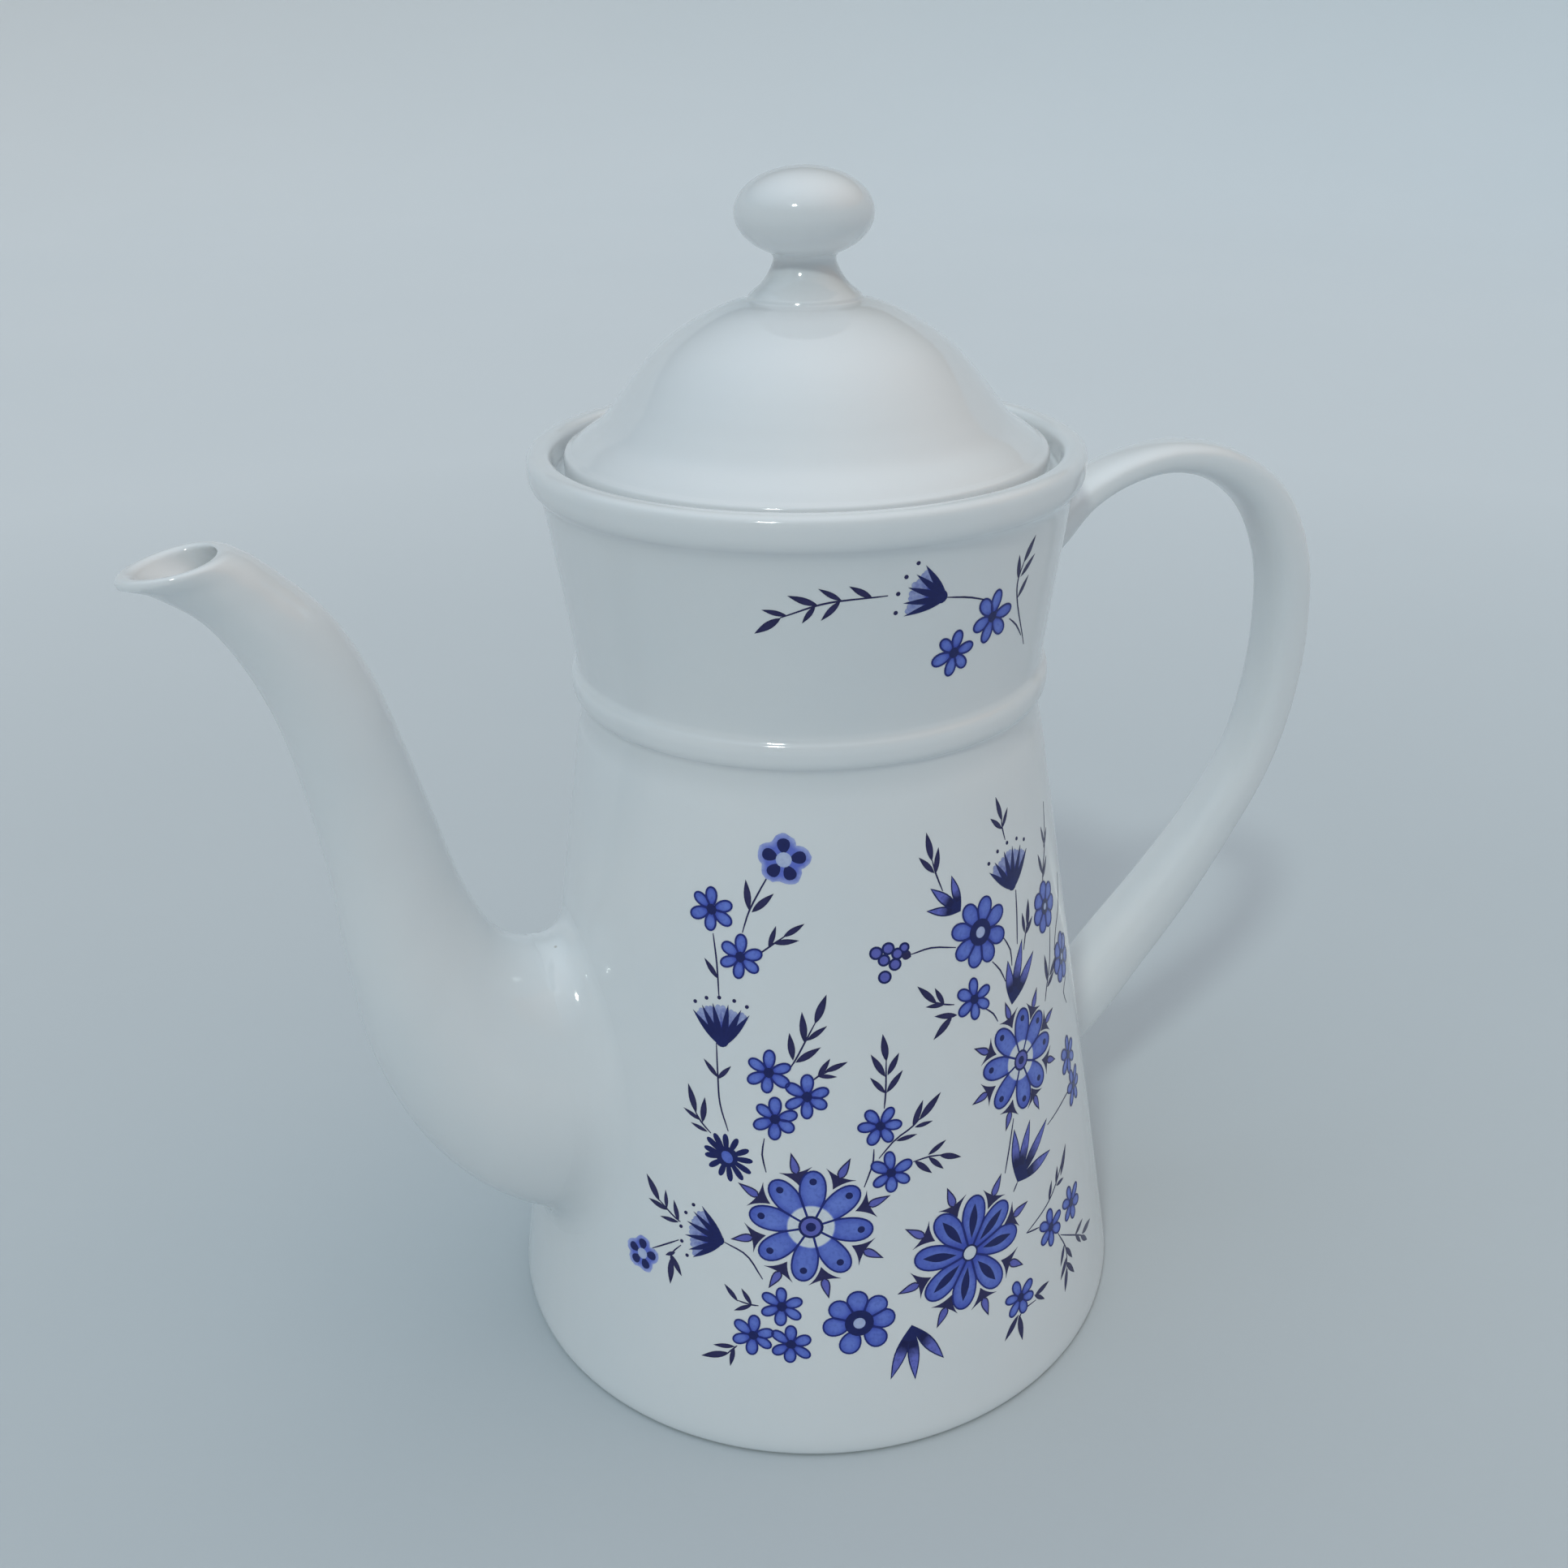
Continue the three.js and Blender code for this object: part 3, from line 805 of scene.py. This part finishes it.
def leaflet(sheet, tip, base):
    """A leaf that grows from its base on a stem out to its tip."""
    x, y = between(base, tip)
    length = math.hypot(x, y)
    width = min(1.35, max(0.8, 0.255 * length)) * hand.uniform(0.92, 1.08)
    tucked = 0.3  # how far the base reaches under the stem
    form = shape(leaf(length + tucked, width, -tucked, 0.45), (0.45,), 0.75, 0.2)
    sheet.add(base, math.degrees(math.atan2(y, x)), form, LEAF, 0)


def outlined_petal(sheet, at, angle, length, width, root, taper, count=22, room=(90, 90)):
    """A blue petal in a dark outline."""
    middle_line = petal(length - LINE, width - LINE, root + LINE / 2, taper, count, room, 0.2 * LINE)
    sheet.add(at, angle, shape(middle_line, (0.8, 0.45), 0.85, 0.12, 0.45), BLUE, 1)
    sheet.add(at, angle, outline_of(middle_line), LINE_BLUE, 5)


def small_flower(sheet, at, reach, turn):
    """Six petals round a dark heart."""
    for angle in (90, 20, -35, -92, -152, 146):
        length = (reach - 0.45) * hand.uniform(0.9, 1.02)
        width = 0.53 * reach * hand.uniform(0.93, 1.08)
        outlined_petal(sheet, at, angle + turn + hand.uniform(-4, 4), length, width, 0.45, 0.22)
    heart = [
        (HEART_R * hand.uniform(0.85, 1.1) * math.cos(a), HEART_R * hand.uniform(0.85, 1.1) * math.sin(a))
        for a in (k * math.pi / 4 for k in range(8))
    ]
    sheet.add(at, turn, shape(heart), NAVY, 6)


def ring_flower(sheet, at, reach, width, ring, angles):
    """Round petals about a broad dark ring with a white eye."""
    for angle, room in rooms(angles):
        outlined_petal(sheet, at, angle, reach - ring + 0.9, width, ring - 0.9, 0.2, room=room)
    sheet.add(at, 0, shape(disc(ring, 24), (0.5,)), NAVY, 6)
    sheet.add(at, 0, shape(disc(0.42 * ring, 16), (0.5,), 0.9, 0.3), MIST, 7)


def spike(sheet, at, angle, inner, tip):
    """A three-pointed dark star with a blue bud, standing between two petals of a large flower."""
    k = (tip - inner) / 6.4
    arm, notch = (3.05, -2.85), (2.6, -0.6)
    half = bend((0, 0), (2.1, -1.05), arm) + bend(arm, (2.65, -1.5), notch, 4) + [notch]
    star = [(inner + x * k, y * k) for x, y in half + [(x, -y) for x, y in half[:0:-1]]]
    sheet.add(at, angle, shape(star), LEAF, 0)
    bud_start, bud_width = inner + 2.2 * k, 1.65 * k
    sheet.add(at, angle, shape(leaf(tip - bud_start, bud_width, bud_start, 0.3)), LEAF, 1)
    inside = leaf(tip - bud_start - 0.95, bud_width - 1.6 * LINE, bud_start + 0.25, 0.32)
    sheet.add(at, angle, shape(inside, (0.5,), 0.6, 0.1), VIOLET, 2)


def petal_band(length, width, root, taper, room, start, end):
    """The stretch of a petal's inside between two distances from the flower's centre."""
    xs = [start + (end - start) * k / 3 for k in range(4)]

    def side(x, free):
        full = petal_half(x, length, width, root, taper)
        return max(0.08, min(full, x * math.tan(math.radians(free))) - LINE / 2)

    low = [(x, -side(x, room[0])) for x in xs]
    high = [(x, side(x, room[1])) for x in xs]
    bulge = [(end + 0.2, low[-1][1] * 0.5), (end + 0.25, 0), (end + 0.2, high[-1][1] * 0.5)]
    return low + bulge + high[::-1]


def large_flower(sheet, at, reach, width, petals, spikes, banded):
    """Eight long petals, with a white band and a ringed heart, or with dark drops and a white eye."""
    root, taper = 0.5, 0.42
    length = reach - root
    for angle, room in rooms(petals):
        outlined_petal(sheet, at, angle, length, width, root, taper, 34, room)
        if banded:
            for ink_number, end, layer in ((PALE, 0.362, 2), (MIST, 0.35, 3), (WHITE, 0.34, 4)):
                band = petal_band(length, width, root, taper, room, 1.4, end * reach)
                sheet.add(at, angle, shape(band, (0.5,)), ink_number, layer)
            sheet.add(at, angle, shape(disc(0.06 * reach, 12)), NAVY, 2, turned((0.8 * reach, 0), angle))
        else:
            drop = leaf(0.6 * reach, 0.15 * reach, 0.25 * reach, 0.53, 10)
            sheet.add(at, angle, shape(drop, (0.5,), 0.6, 0.4), NAVY, 2)
    for angle in spikes:
        spike(sheet, at, angle, 0.74 * reach, 1.34 * reach)
    if banded:
        for ink_number, r, layer in ((NAVY, 0.2, 6), (VIOLET, 0.158, 7), (NAVY, 0.08, 8)):
            sheet.add(at, 0, shape(disc(r * reach, 22), (0.5,)), ink_number, layer)
    else:
        sheet.add(at, 0, shape(disc(0.148 * reach, 20), (0.5,)), NAVY, 6)
        sheet.add(at, 0, shape(disc(0.118 * reach, 18), (0.5,), 0.8, 0.1), WHITE, 7)


def daisy(sheet, at, reach):
    """Thirteen dark club petals round a blue heart."""
    for angle, far in (
        (96, 0.94), (65, 0.9), (27, 0.92), (-2, 0.98), (-30, 1.06), (-54, 1.05), (-81, 1.0),
        (-108, 0.86), (-143, 0.87), (-175, 0.88), (165, 0.94), (141, 1.03), (121, 1.02),
    ):
        club = petal(reach * far, 0.22 * reach, 0, 0.75, 18)
        sheet.add(at, angle, shape(club, (0.5,), 0.3, 0.7), NAVY, 0)
    sheet.add(at, 0, shape(disc(0.42 * reach, 16), (0.5,)), NAVY, 1)
    sheet.add(at, 0, shape(disc(0.26 * reach, 16, 0.78, 125), (0.5,), 0.6, 0.2), BLUE, 2)


def pansy(sheet, at, reach):
    """Five dark blobs in a soft pale-blue halo."""
    k = reach / 4.5
    blobs = (91, 10, -67, -131, 162)
    lobe_out, lobe_r = 2.45 * k, 2.0 * k
    outline = []
    for i in range(50):
        a = 2 * math.pi * i / 50
        best = 0.0
        for blob in blobs:
            off = a - math.radians(blob)
            under = lobe_r ** 2 - (lobe_out * math.sin(off)) ** 2
            if under > 0:
                best = max(best, lobe_out * math.cos(off) + math.sqrt(under))
        best *= hand.uniform(0.97, 1.03)
        outline.append((best * math.cos(a), best * math.sin(a)))
    sheet.add(at, 0, shape(outline, (0.92, 0.8, 0.5), 0.15, 1.9), PALE, 0)
    for blob in blobs:
        sheet.add(at, blob, shape(petal(2.5 * k, 2.15 * k, 1.15 * k, 0.3, 16), (0.5,), 0.5, 0.6), NAVY, 1)
    sheet.add(at, 0, shape(disc(1.3 * k, 16), (0.6,), 0.9, 0.2), MIST, 2)


def fan(sheet, base, angles, length, dots, dot_reach):
    """A bell of dark blades with pale tongues between them and a row of stamen dots."""
    sweep = [angles[0]]
    for angle in angles[1:]:
        sweep.append(sweep[-1] + (angle - sweep[-1] + 180) % 360 - 180)
    for a, b in zip(sweep, sweep[1:]):
        for share in (0.32, 0.68):
            tongue = petal(length * hand.uniform(0.56, 0.64), 1.6, length * 0.33, 0.3, 18)
            sheet.add(base, a + (b - a) * share, shape(tongue, (0.6,), 0.3, 0.6, 1.2), WASH, 0)
    arc = [turned((0.42 * length, 0), a) for a in np.linspace(min(sweep), max(sweep), 12)]
    middle = (sweep[0] + sweep[-1]) / 2
    sheet.add(base, 0, shape([(0, 0), *arc], (0.6,)), NAVY, 1)
    sheet.add(base, 0, shape(disc(0.15 * length, 14), (0.5,)), NAVY, 1, turned((0.15 * length, 0), middle))
    for angle in sweep:
        sheet.add(base, angle, shape(leaf(length, 0.15 * length, 0, 0.45, 9), (0.5,), 0.35, 0.7), NAVY, 2)
    for angle in dots:
        sheet.add(base, 0, shape(disc(STAMEN_R, 8)), LEAF, 1, turned((dot_reach, 0), angle))


def bud_clump(sheet, base, blades):
    """Blades that are dark at the base and blue towards the tip."""
    fullest = 0.5
    for angle, length in blades:
        width = min(2.3, 0.25 * length)
        sheet.add(base, angle, shape(leaf(length, width, 0, fullest, 9), (0.5,)), NAVY, 0)
        low = []
        for k in range(10):
            u = 0.28 + 0.66 * k / 9
            low.append((u * length, -max(0.05, leaf_half(u, width, fullest) - 0.8 * LINE)))
        inside = low + [(x, -y) for x, y in reversed(low)]
        sheet.add(base, angle, shape(inside, (0.6,), 0.0, -0.1, 1.6), BUD, 1)


def grapes(sheet, calyx):
    """Seven outlined berries on a calyx."""
    for reach, angle, r in (
        (5.3, 167, 1.2), (3.5, 151, 1.15), (1.4, 100, 0.95), (1.6, 161, 1.1), (3.9, -176, 1.1),
        (2.4, -147, 1.15), (5.1, -140, 1.2),
    ):
        centre = turned((reach, 0), angle)
        sheet.add(calyx, 0, shape(disc(r, 16)), NAVY, 0, centre)
        sheet.add(calyx, 0, shape(disc(r - 1.2 * LINE, 14), (0.5,), 0.7, 0.3), VIOLET, 1, centre)
    sheet.add(calyx, 150, shape(leaf(2.2, 1.7, -1.0)), LEAF, 0)


# Places on the pot as (azimuth, height). A leaf is its tip and its base.
STEMS = [
    [(46.9, 99.8), (47.9, 94.7), (48.6, 88.7)],
    [(59.1, 111.5), (56.6, 107.8), (54.6, 104.4), (53.3, 100.7)],
    [(56, 96.8), (58, 98), (59.8, 99.2), (62.8, 101)],
    [(48.3, 80.4), (48.8, 74.4), (49.4, 69.3), (51.2, 64.4)],
    [(47.7, 63.4), (45.6, 65.1), (44.1, 67)],
    [(63.1, 77.1), (64.3, 78.8), (66.1, 81.9), (68.3, 85.6)],
    [(67.5, 75), (68.8, 75.9), (71.2, 76.9)],
    [(58.3, 64), (57.9, 60.9), (58.7, 57.6)],
    [(42, 44.6), (40.6, 45.2), (39.1, 46.2), (36.9, 47.6)],
    [(36.2, 37.2), (41.8, 40.9)],
    [(42.3, 40), (40.3, 37.5), (40.4, 36)],
    [(50.9, 42.9), (55.1, 41.1), (58.2, 36.7)],
    [(57.5, 31.3), (56, 31.3), (53.5, 31.8)],
    [(53.7, 22.5), (52, 20.6)],
    [(116.2, 109.5), (115.6, 111.9), (115.6, 113.5)],
    [(96.8, 105.3), (95.4, 108.6), (94.7, 111.1)],
    [(112.2, 93), (114.4, 89.6), (114.4, 86.6)],
    [(108.5, 89.4), (110.6, 87.1), (111.9, 84.5)],
    [(118.3, 99.6), (117.8, 95.2), (116.9, 89.8)],
    [(119, 87.9), (120.2, 90.4), (121.2, 92)],
    [(97.7, 84.6), (95.2, 85.3), (93.2, 86.2)],
    [(105.1, 81.8), (107.5, 79.9), (108.6, 78)],
    [(81.4, 68.8), (81.8, 71.6), (82.2, 77.8)],
    [(80, 59.6), (83.3, 62.6), (86.9, 64.4), (88.8, 65.8)],
    [(86.7, 57.7), (90.1, 57.9), (93, 57.4)],
    [(79.1, 61.5), (78.8, 58.9), (77, 54.5)],
    [(110.1, 45.1), (108.8, 43.7)],
    [(110.6, 58), (108.8, 53.1), (107, 48.4)],
    [(111.3, 33.6), (118.7, 36), (122.5, 38.4), (127.6, 43.3)],
    [(135.5, 51.7), (131.7, 52.4), (121.2, 51.3)],
    [(111.3, 33.6), (115, 32.7)],
    [(120.8, 27.9), (123.3, 22.3), (122.8, 18.3)],
    [(121.8, 26.7), (128.7, 21.7), (131, 19.8)],
    [(130.7, 95.7), (131.4, 98.1), (134.7, 102.4), (137.7, 109.6)],
    [(132.1, 87), (129.4, 80.4), (127, 77.4), (125.5, 74.9)],
    [(143.6, 93.1), (140.3, 88.1), (135.8, 85.1), (133.1, 81.8)],
    [(139.2, 73.3), (136.1, 71.6), (137.5, 68.5)],
    [(88.5, 95.7), (93.1, 96.0), (99.1, 94.7)],
    [(112.2, 18.4), (108.2, 18.2), (107.2, 16.5)],
]
NECK_STEMS = [
    [(62.4, 155), (69.6, 157), (74, 157.6), (83.4, 157.9)],
    [(96.3, 156.2), (101.7, 155.4), (106.7, 154.1)],
    [(123.8, 142.8), (117.5, 151.6), (116.3, 155.4), (117.6, 158.6)],
    [(115.4, 149.2), (118.6, 147.4), (121.6, 144.9)],
]
LEAVES = [
    ((45.1, 95.2), (48.0, 92.2)), ((53.8, 109.9), (54.6, 105)), ((59.9, 107.9), (55.5, 104.6)),
    ((60.4, 102.4), (59.0, 98.7)), ((66.3, 102.9), (62.2, 100.7)), ((65.2, 100), (60.1, 99.4)),
    ((45.7, 77.0), (48.6, 74.3)), ((51.5, 76.6), (48.9, 74.0)),
    ((42.5, 71.7), (44.4, 66.8)), ((46.2, 69.9), (45.9, 65.3)), ((41.7, 66.9), (45.1, 65.5)),
    ((43.4, 64.5), (46.7, 63.6)),
    ((63.1, 83.7), (63.8, 79)), ((69.3, 81.1), (64.6, 78.5)), ((65.6, 87.5), (66.1, 82.2)),
    ((70.6, 84.9), (66.8, 82.5)), ((70.6, 90.5), (68.3, 85.6)),
    ((71.1, 79), (68.8, 76)), ((74.5, 78.2), (70.2, 76.7)), ((72.4, 75.6), (68.8, 75.9)),
    ((34, 51.5), (37.1, 47.4)), ((38.5, 49.9), (38.9, 46.5)), ((34.8, 46.9), (38.8, 46.1)),
    ((40.4, 48.5), (41.5, 44.8)), ((37.6, 44.3), (41.3, 44.4)),
    ((39.1, 36.9), (40.9, 38.0)), ((40.4, 31.4), (40.4, 36.6)), ((42.7, 33.8), (40.5, 37.2)),
    ((51.1, 34.6), (53.5, 31.8)), ((54.3, 34.3), (56.1, 31.5)), ((53, 29.6), (56, 31.1)),
    ((49.3, 21.7), (53, 22.2)), ((47.1, 18.8), (52, 20.6)), ((52.5, 18), (53.1, 21.8)),
    ((114.3, 117.7), (115.7, 113.3)), ((118.3, 114.8), (115.9, 112.1)), ((111.8, 114.5), (115.2, 111.9)),
    ((93.7, 116), (94.6, 111.2)), ((96.5, 113), (95.4, 108.9)), ((91.5, 112.1), (94.8, 109)),
    ((122.8, 96.3), (121.4, 91.7)), ((119.8, 94.7), (120, 91.1)), ((123.8, 92.6), (120.6, 90.6)),
    ((93.4, 88.7), (95.2, 85.4)), ((89.5, 89.8), (93.4, 86)), ((91.1, 85.7), (95.2, 85.3)),
    ((92.9, 83.6), (97.9, 82.6)), ((92.4, 79.4), (96.8, 82.5)),
    ((81.7, 82.5), (82.2, 77.7)), ((79.1, 79.1), (81.7, 74.9)), ((84.9, 78.6), (82.5, 75.1)),
    ((78.8, 74.9), (81.6, 71.8)), ((85.5, 75.3), (82.2, 71.9)),
    ((93.3, 69.4), (88.6, 65.5)), ((89.4, 68.9), (87.1, 64.6)), ((91.2, 64.5), (87.7, 64.2)),
    ((87.8, 62.8), (83.8, 62.4)),
    ((93.8, 60.1), (90.1, 58.4)), ((96.9, 55.8), (92.4, 57.5)), ((92.9, 54.7), (90.1, 57.6)),
    ((90.4, 54.6), (87.2, 57.6)),
    ((127.6, 43.3), (124.3, 38.7)), ((123.2, 41.2), (122.1, 38)), ((125.2, 37.4), (122.4, 37.5)),
    ((120.6, 39.6), (119.1, 36.5)),
    ((120.7, 20.2), (122.6, 23.6)), ((125.3, 19), (123.4, 22.6)), ((120.2, 17.4), (123.2, 20.6)),
    ((125.5, 15.4), (123.0, 19.4)), ((121.3, 13.9), (122.8, 18.3)),
    ((131.9, 23.2), (127.7, 22.6)), ((136.3, 19.7), (131, 20.4)), ((129.8, 19.2), (127.8, 22.2)),
    ((133.1, 17.2), (130.2, 20.2)),
    ((116.5, 19.9), (112.3, 19.5)), ((114.7, 17), (112.1, 19.5)), ((103.6, 14.4), (107.1, 17.9)),
    ((107.8, 12.2), (107.5, 17.7)),
    ((133.4, 106.3), (134.3, 102.8)), ((137.4, 104.7), (134, 102.3)), ((129.8, 102.2), (131.1, 98.2)),
    ((134.9, 100.1), (131.3, 97.3)),
    ((127.5, 83.4), (127.6, 78)), ((131.5, 78.4), (127.5, 77.1)), ((135.4, 80.7), (129.1, 78.6)),
]
NECK_LEAVES = [
    ((57.1, 152.2), (62.2, 154.8)), ((58.8, 156.2), (63.4, 155.4)), ((63.9, 158.6), (69.4, 157.1)),
    ((66.6, 154.1), (69, 156.7)), ((69.8, 159.7), (74, 157.8)), ((70.3, 154.5), (73.8, 157.4)),
    ((75.7, 159.9), (80, 157.9)),
    ((120.5, 162.3), (117.6, 158.5)), ((121.5, 159), (117.4, 156.2)), ((115.4, 160), (116.3, 156)),
    ((120.3, 155.7), (117.5, 152.6)),
]
# (azimuth, height), reach of the petals, turn
SMALL_FLOWERS = [
    ((46.4, 104.0), 4.2, 0), ((53.0, 96.4), 4.2, 0), ((59.0, 76.3), 4.2, 0), ((66.5, 72.1), 4.2, 0),
    ((60.4, 67.8), 4.2, 0), ((61.7, 31.6), 4.2, 0), ((56.6, 25.2), 4.2, 0), ((63.3, 24.0), 4.2, 0),
    ((80.5, 65.7), 4.2, 33), ((82.3, 56.5), 4.2, 2), ((102.8, 84.2), 4.2, 0), ((108.2, 21.4), 4.2, 14),
    ((118.7, 30.5), 4.2, 0), ((127.2, 30.4), 4.2, 10), ((134.2, 59.1), 4.2, 0), ((135.5, 51.7), 4.2, 20),
]
NECK_FLOWERS = [((109.3, 150.8), 4.6, -12), ((99.6, 146.3), 4.2, -11)]


def strokes_leaves_and_flowers(sheet, stems, leaves, flowers):
    for places in stems:
        stroke(sheet, places)
    for tip, base in leaves:
        leaflet(sheet, tip, base)
    for at, reach, turn in flowers:
        small_flower(sheet, at, reach, turn)


def draw_body_print():
    sheet = Sheet()
    strokes_leaves_and_flowers(sheet, STEMS, LEAVES, SMALL_FLOWERS)
    pansy(sheet, (62.0, 113.7), 4.5)
    pansy(sheet, (34.0, 35.2), 3.7)
    daisy(sheet, (51.1, 59.5), 4.7)
    large_flower(sheet, (67.0, 47.5), 11.0, 4.8, (87, 41, -7, -55, -99, -145, 169, 127),
                 (103, 62, 19, -30, -78, -121, -165, 149), True)
    large_flower(sheet, (97.3, 36.3), 11.3, 5.1, (79, 36, -3, -57, -103, -145, 168, 122),
                 (57, 14, -35, -78, -121, -165, 144, 104), False)
    large_flower(sheet, (114.4, 68.1), 9.8, 4.3, (79, 38, -3, -52, -91, -140, 169, 124),
                 (102, 58, 18, -28, -72, -116, -165, 147), True)
    ring_flower(sheet, (75.4, 27.9), 6.6, 4.0, 2.6, (93, 45, 4, -48, -113, -175, 139))
    ring_flower(sheet, (105.8, 95.7), 6.4, 3.4, 2.4, (70, 24, -27, -72, -110, -150, 161, 115))
    ring_flower(sheet, (130.3, 91.9), 4.9, 3.4, 1.5, (88, 37, -14, -67, -118, -170, 140))
    ring_flower(sheet, (137.5, 78.4), 4.9, 3.4, 1.5, (80, 29, -22, -75, -126, -178, 132))
    fan(sheet, (49.6, 79.8), (134, 119, 104, 84, 67, 55), 8.0, (125, 110, 95, 78, 63), 9.0)
    fan(sheet, (50.9, 42.9), (125, 142, 162, -176, -154, -142), 7.5, (135, 152, 174, -166, -147), 8.4)
    fan(sheet, (117.2, 99.9), (136, 121, 100, 82, 63, 45), 7.9, (128, 110, 92, 73, 56), 9.0)
    grapes(sheet, (87.4, 95.8))
    bud_clump(sheet, (84.9, 25.6), ((-113, 11.3), (-89, 11.6), (-56, 10.7)))
    bud_clump(sheet, (113.2, 79.5), ((67, 11.7), (41, 10.5), (90, 8.6)))
    bud_clump(sheet, (110.1, 45.1), ((88, 10.9), (65, 11.6), (37, 12.9), (5, 10.6)))
    bud_clump(sheet, (101.0, 100.8), ((135, 7.9), (101, 6.9), (165, 6.9)))
    return sheet


def draw_neck_print():
    sheet = Sheet()
    strokes_leaves_and_flowers(sheet, NECK_STEMS, NECK_LEAVES, NECK_FLOWERS)
    fan(sheet, (96.3, 156.1), (125, 140, 158, 178, -165), 7.4, (130, 148, 167, -172), 8.6)
    return sheet


body_print = draw_body_print()
neck_print = draw_neck_print()
body_print.make("print_body_front", 0)
body_print.make("print_body_back", 180)
neck_print.make("print_neck_front", 0)
neck_print.make("print_neck_back", 180)

# ---------------------------------------------------------------- floor, light and camera

TO_VIEW = Matrix.Rotation(math.radians(-202), 4, "Z")  # turns +Y, the way the camera looks, into the frame


def make_camera():
    data = bpy.data.cameras.new("camera")
    data.lens = 36
    data.sensor_width = 36
    data.shift_x = -50 / 1932
    data.dof.use_dof = False
    camera = add_object("camera", data)
    stand = Matrix.Translation((0, -0.264, 0.2348))
    yaw = Matrix.Rotation(math.radians(-0.55), 4, "Z")
    pitch = Matrix.Rotation(math.radians(90 - 25.98), 4, "X")
    roll = Matrix.Rotation(math.radians(-0.45), 4, "Z")
    camera.matrix_world = TO_VIEW @ stand @ yaw @ pitch @ roll
    bpy.context.scene.camera = camera


def pale_backdrop(name, near, far):
    """Matt pale paper, a touch darker close to the pot as painted shade (a soft vignette), with a faint
    cloudiness and grain.
    """
    material, nodes = new_material(name)
    distance = nodes.add("VectorMath", {0: nodes.place()}, "Value", operation="LENGTH")
    # painted shade: the colour runs from the darker near tint close to the pot out to the far tint, a soft
    # vignette
    base = nodes.ramp(nodes.span(distance, 0.0, 1.0, 0.10, 0.70), (0.0, near), (1.0, far))
    clouds = nodes.ramp(nodes.noise(3, 4), (0.3, DARK), (0.7, (0.12, 0.12, 0.12)))
    nodes.shade({
        "Base Color": nodes.mix(clouds, base, (0.80, 0.82, 0.84)),
        "Roughness": 0.75,
        "Normal": nodes.bump(nodes.noise(600), 0.0002, 0.15),
        "Specular IOR Level": 0.2,
    })
    return material


def make_stage():
    """A pale round floor that curves up far from the pot into a pale wall all round it, in metres."""
    reach, bend_r, top, floor_z, count = 3.2, 1.3, 1.5, -0.0002, 96
    path = [(0.4, floor_z), (1.2, floor_z)]
    for k in range(17):
        a = math.pi / 2 * k / 16
        path.append((reach - bend_r + bend_r * math.sin(a), floor_z + bend_r - bend_r * math.cos(a)))
    path.append((reach, top))
    faces = [(0, 1 + k, 1 + (k + 1) % count) for k in range(count)]
    faces += [(face[0], *face[:0:-1]) for face in bands(len(path), count, 1)]
    mesh = bpy.data.meshes.new("backdrop")
    mesh.from_pydata([(0, 0, floor_z), *rings_round_z(path, count)], [], faces)
    # the first tint is the painted shade close to the pot, the second the paper further out
    mesh.materials.append(pale_backdrop("pale_paper", (0.53, 0.58, 0.605), (0.70, 0.745, 0.77)))
    mesh.polygons.foreach_set("use_smooth", [True] * len(faces))
    add_object("backdrop", mesh)


def towards(azimuth, elevation):
    """The direction at an azimuth and elevation in degrees."""
    a, e = math.radians(azimuth), math.radians(elevation)
    return Vector((math.cos(a) * math.cos(e), math.sin(a) * math.cos(e), math.sin(e)))


def make_lamp(azimuth, elevation, softness, strength, color):
    """A small soft directional lamp, `softness` degrees across."""
    data = bpy.data.lights.new("lamp", "SUN")
    data.angle = math.radians(softness)
    data.energy = strength
    data.color = color
    lamp = add_object("lamp", data)
    away = towards(azimuth, elevation)
    lamp.location = away * 2
    lamp.rotation_mode = "QUATERNION"
    lamp.rotation_quaternion = away.to_track_quat("Z", "Y")


def make_world(glows):
    """A softly lit room: broad glows with no edges, each with a place, a tightness and a colour."""
    world = bpy.data.worlds.new("soft_room")
    bpy.context.scene.world = world
    nodes = Nodes(world)
    direction = nodes.add("TexCoord", {}, "Generated")
    total = None
    for azimuth, elevation, tightness, color in glows:
        to_glow = {0: direction, 1: towards(azimuth, elevation)}
        facing = nodes.add("VectorMath", to_glow, "Value", operation="DOT_PRODUCT")
        strength = nodes.math("POWER", nodes.math("MAXIMUM", facing, 0.0), tightness)
        glow = nodes.add("VectorMath", {0: color, "Scale": strength}, operation="SCALE")
        total = nodes.add("VectorMath", {0: total, 1: glow}, operation="ADD") if total else glow
    nodes.feed(world.node_tree.nodes["Background"].inputs["Color"], total)


make_camera()
make_stage()
make_world([
    (60, 90, 3, (1.04, 1.20, 1.36)),
    (160, 45, 4, (0.38, 0.15, 0.01)),
    (210, 50, 4, (0.03, 0.045, 0.01)),
    (-20, 45, 4, (0.05, 0.095, 0.135)),
])
make_lamp(48.7, 46.2, 6, 0.60, (0.90, 1.0, 0.97))

bpy.context.scene.view_settings.view_transform = "Standard"
bpy.context.scene.view_settings.look = "None"
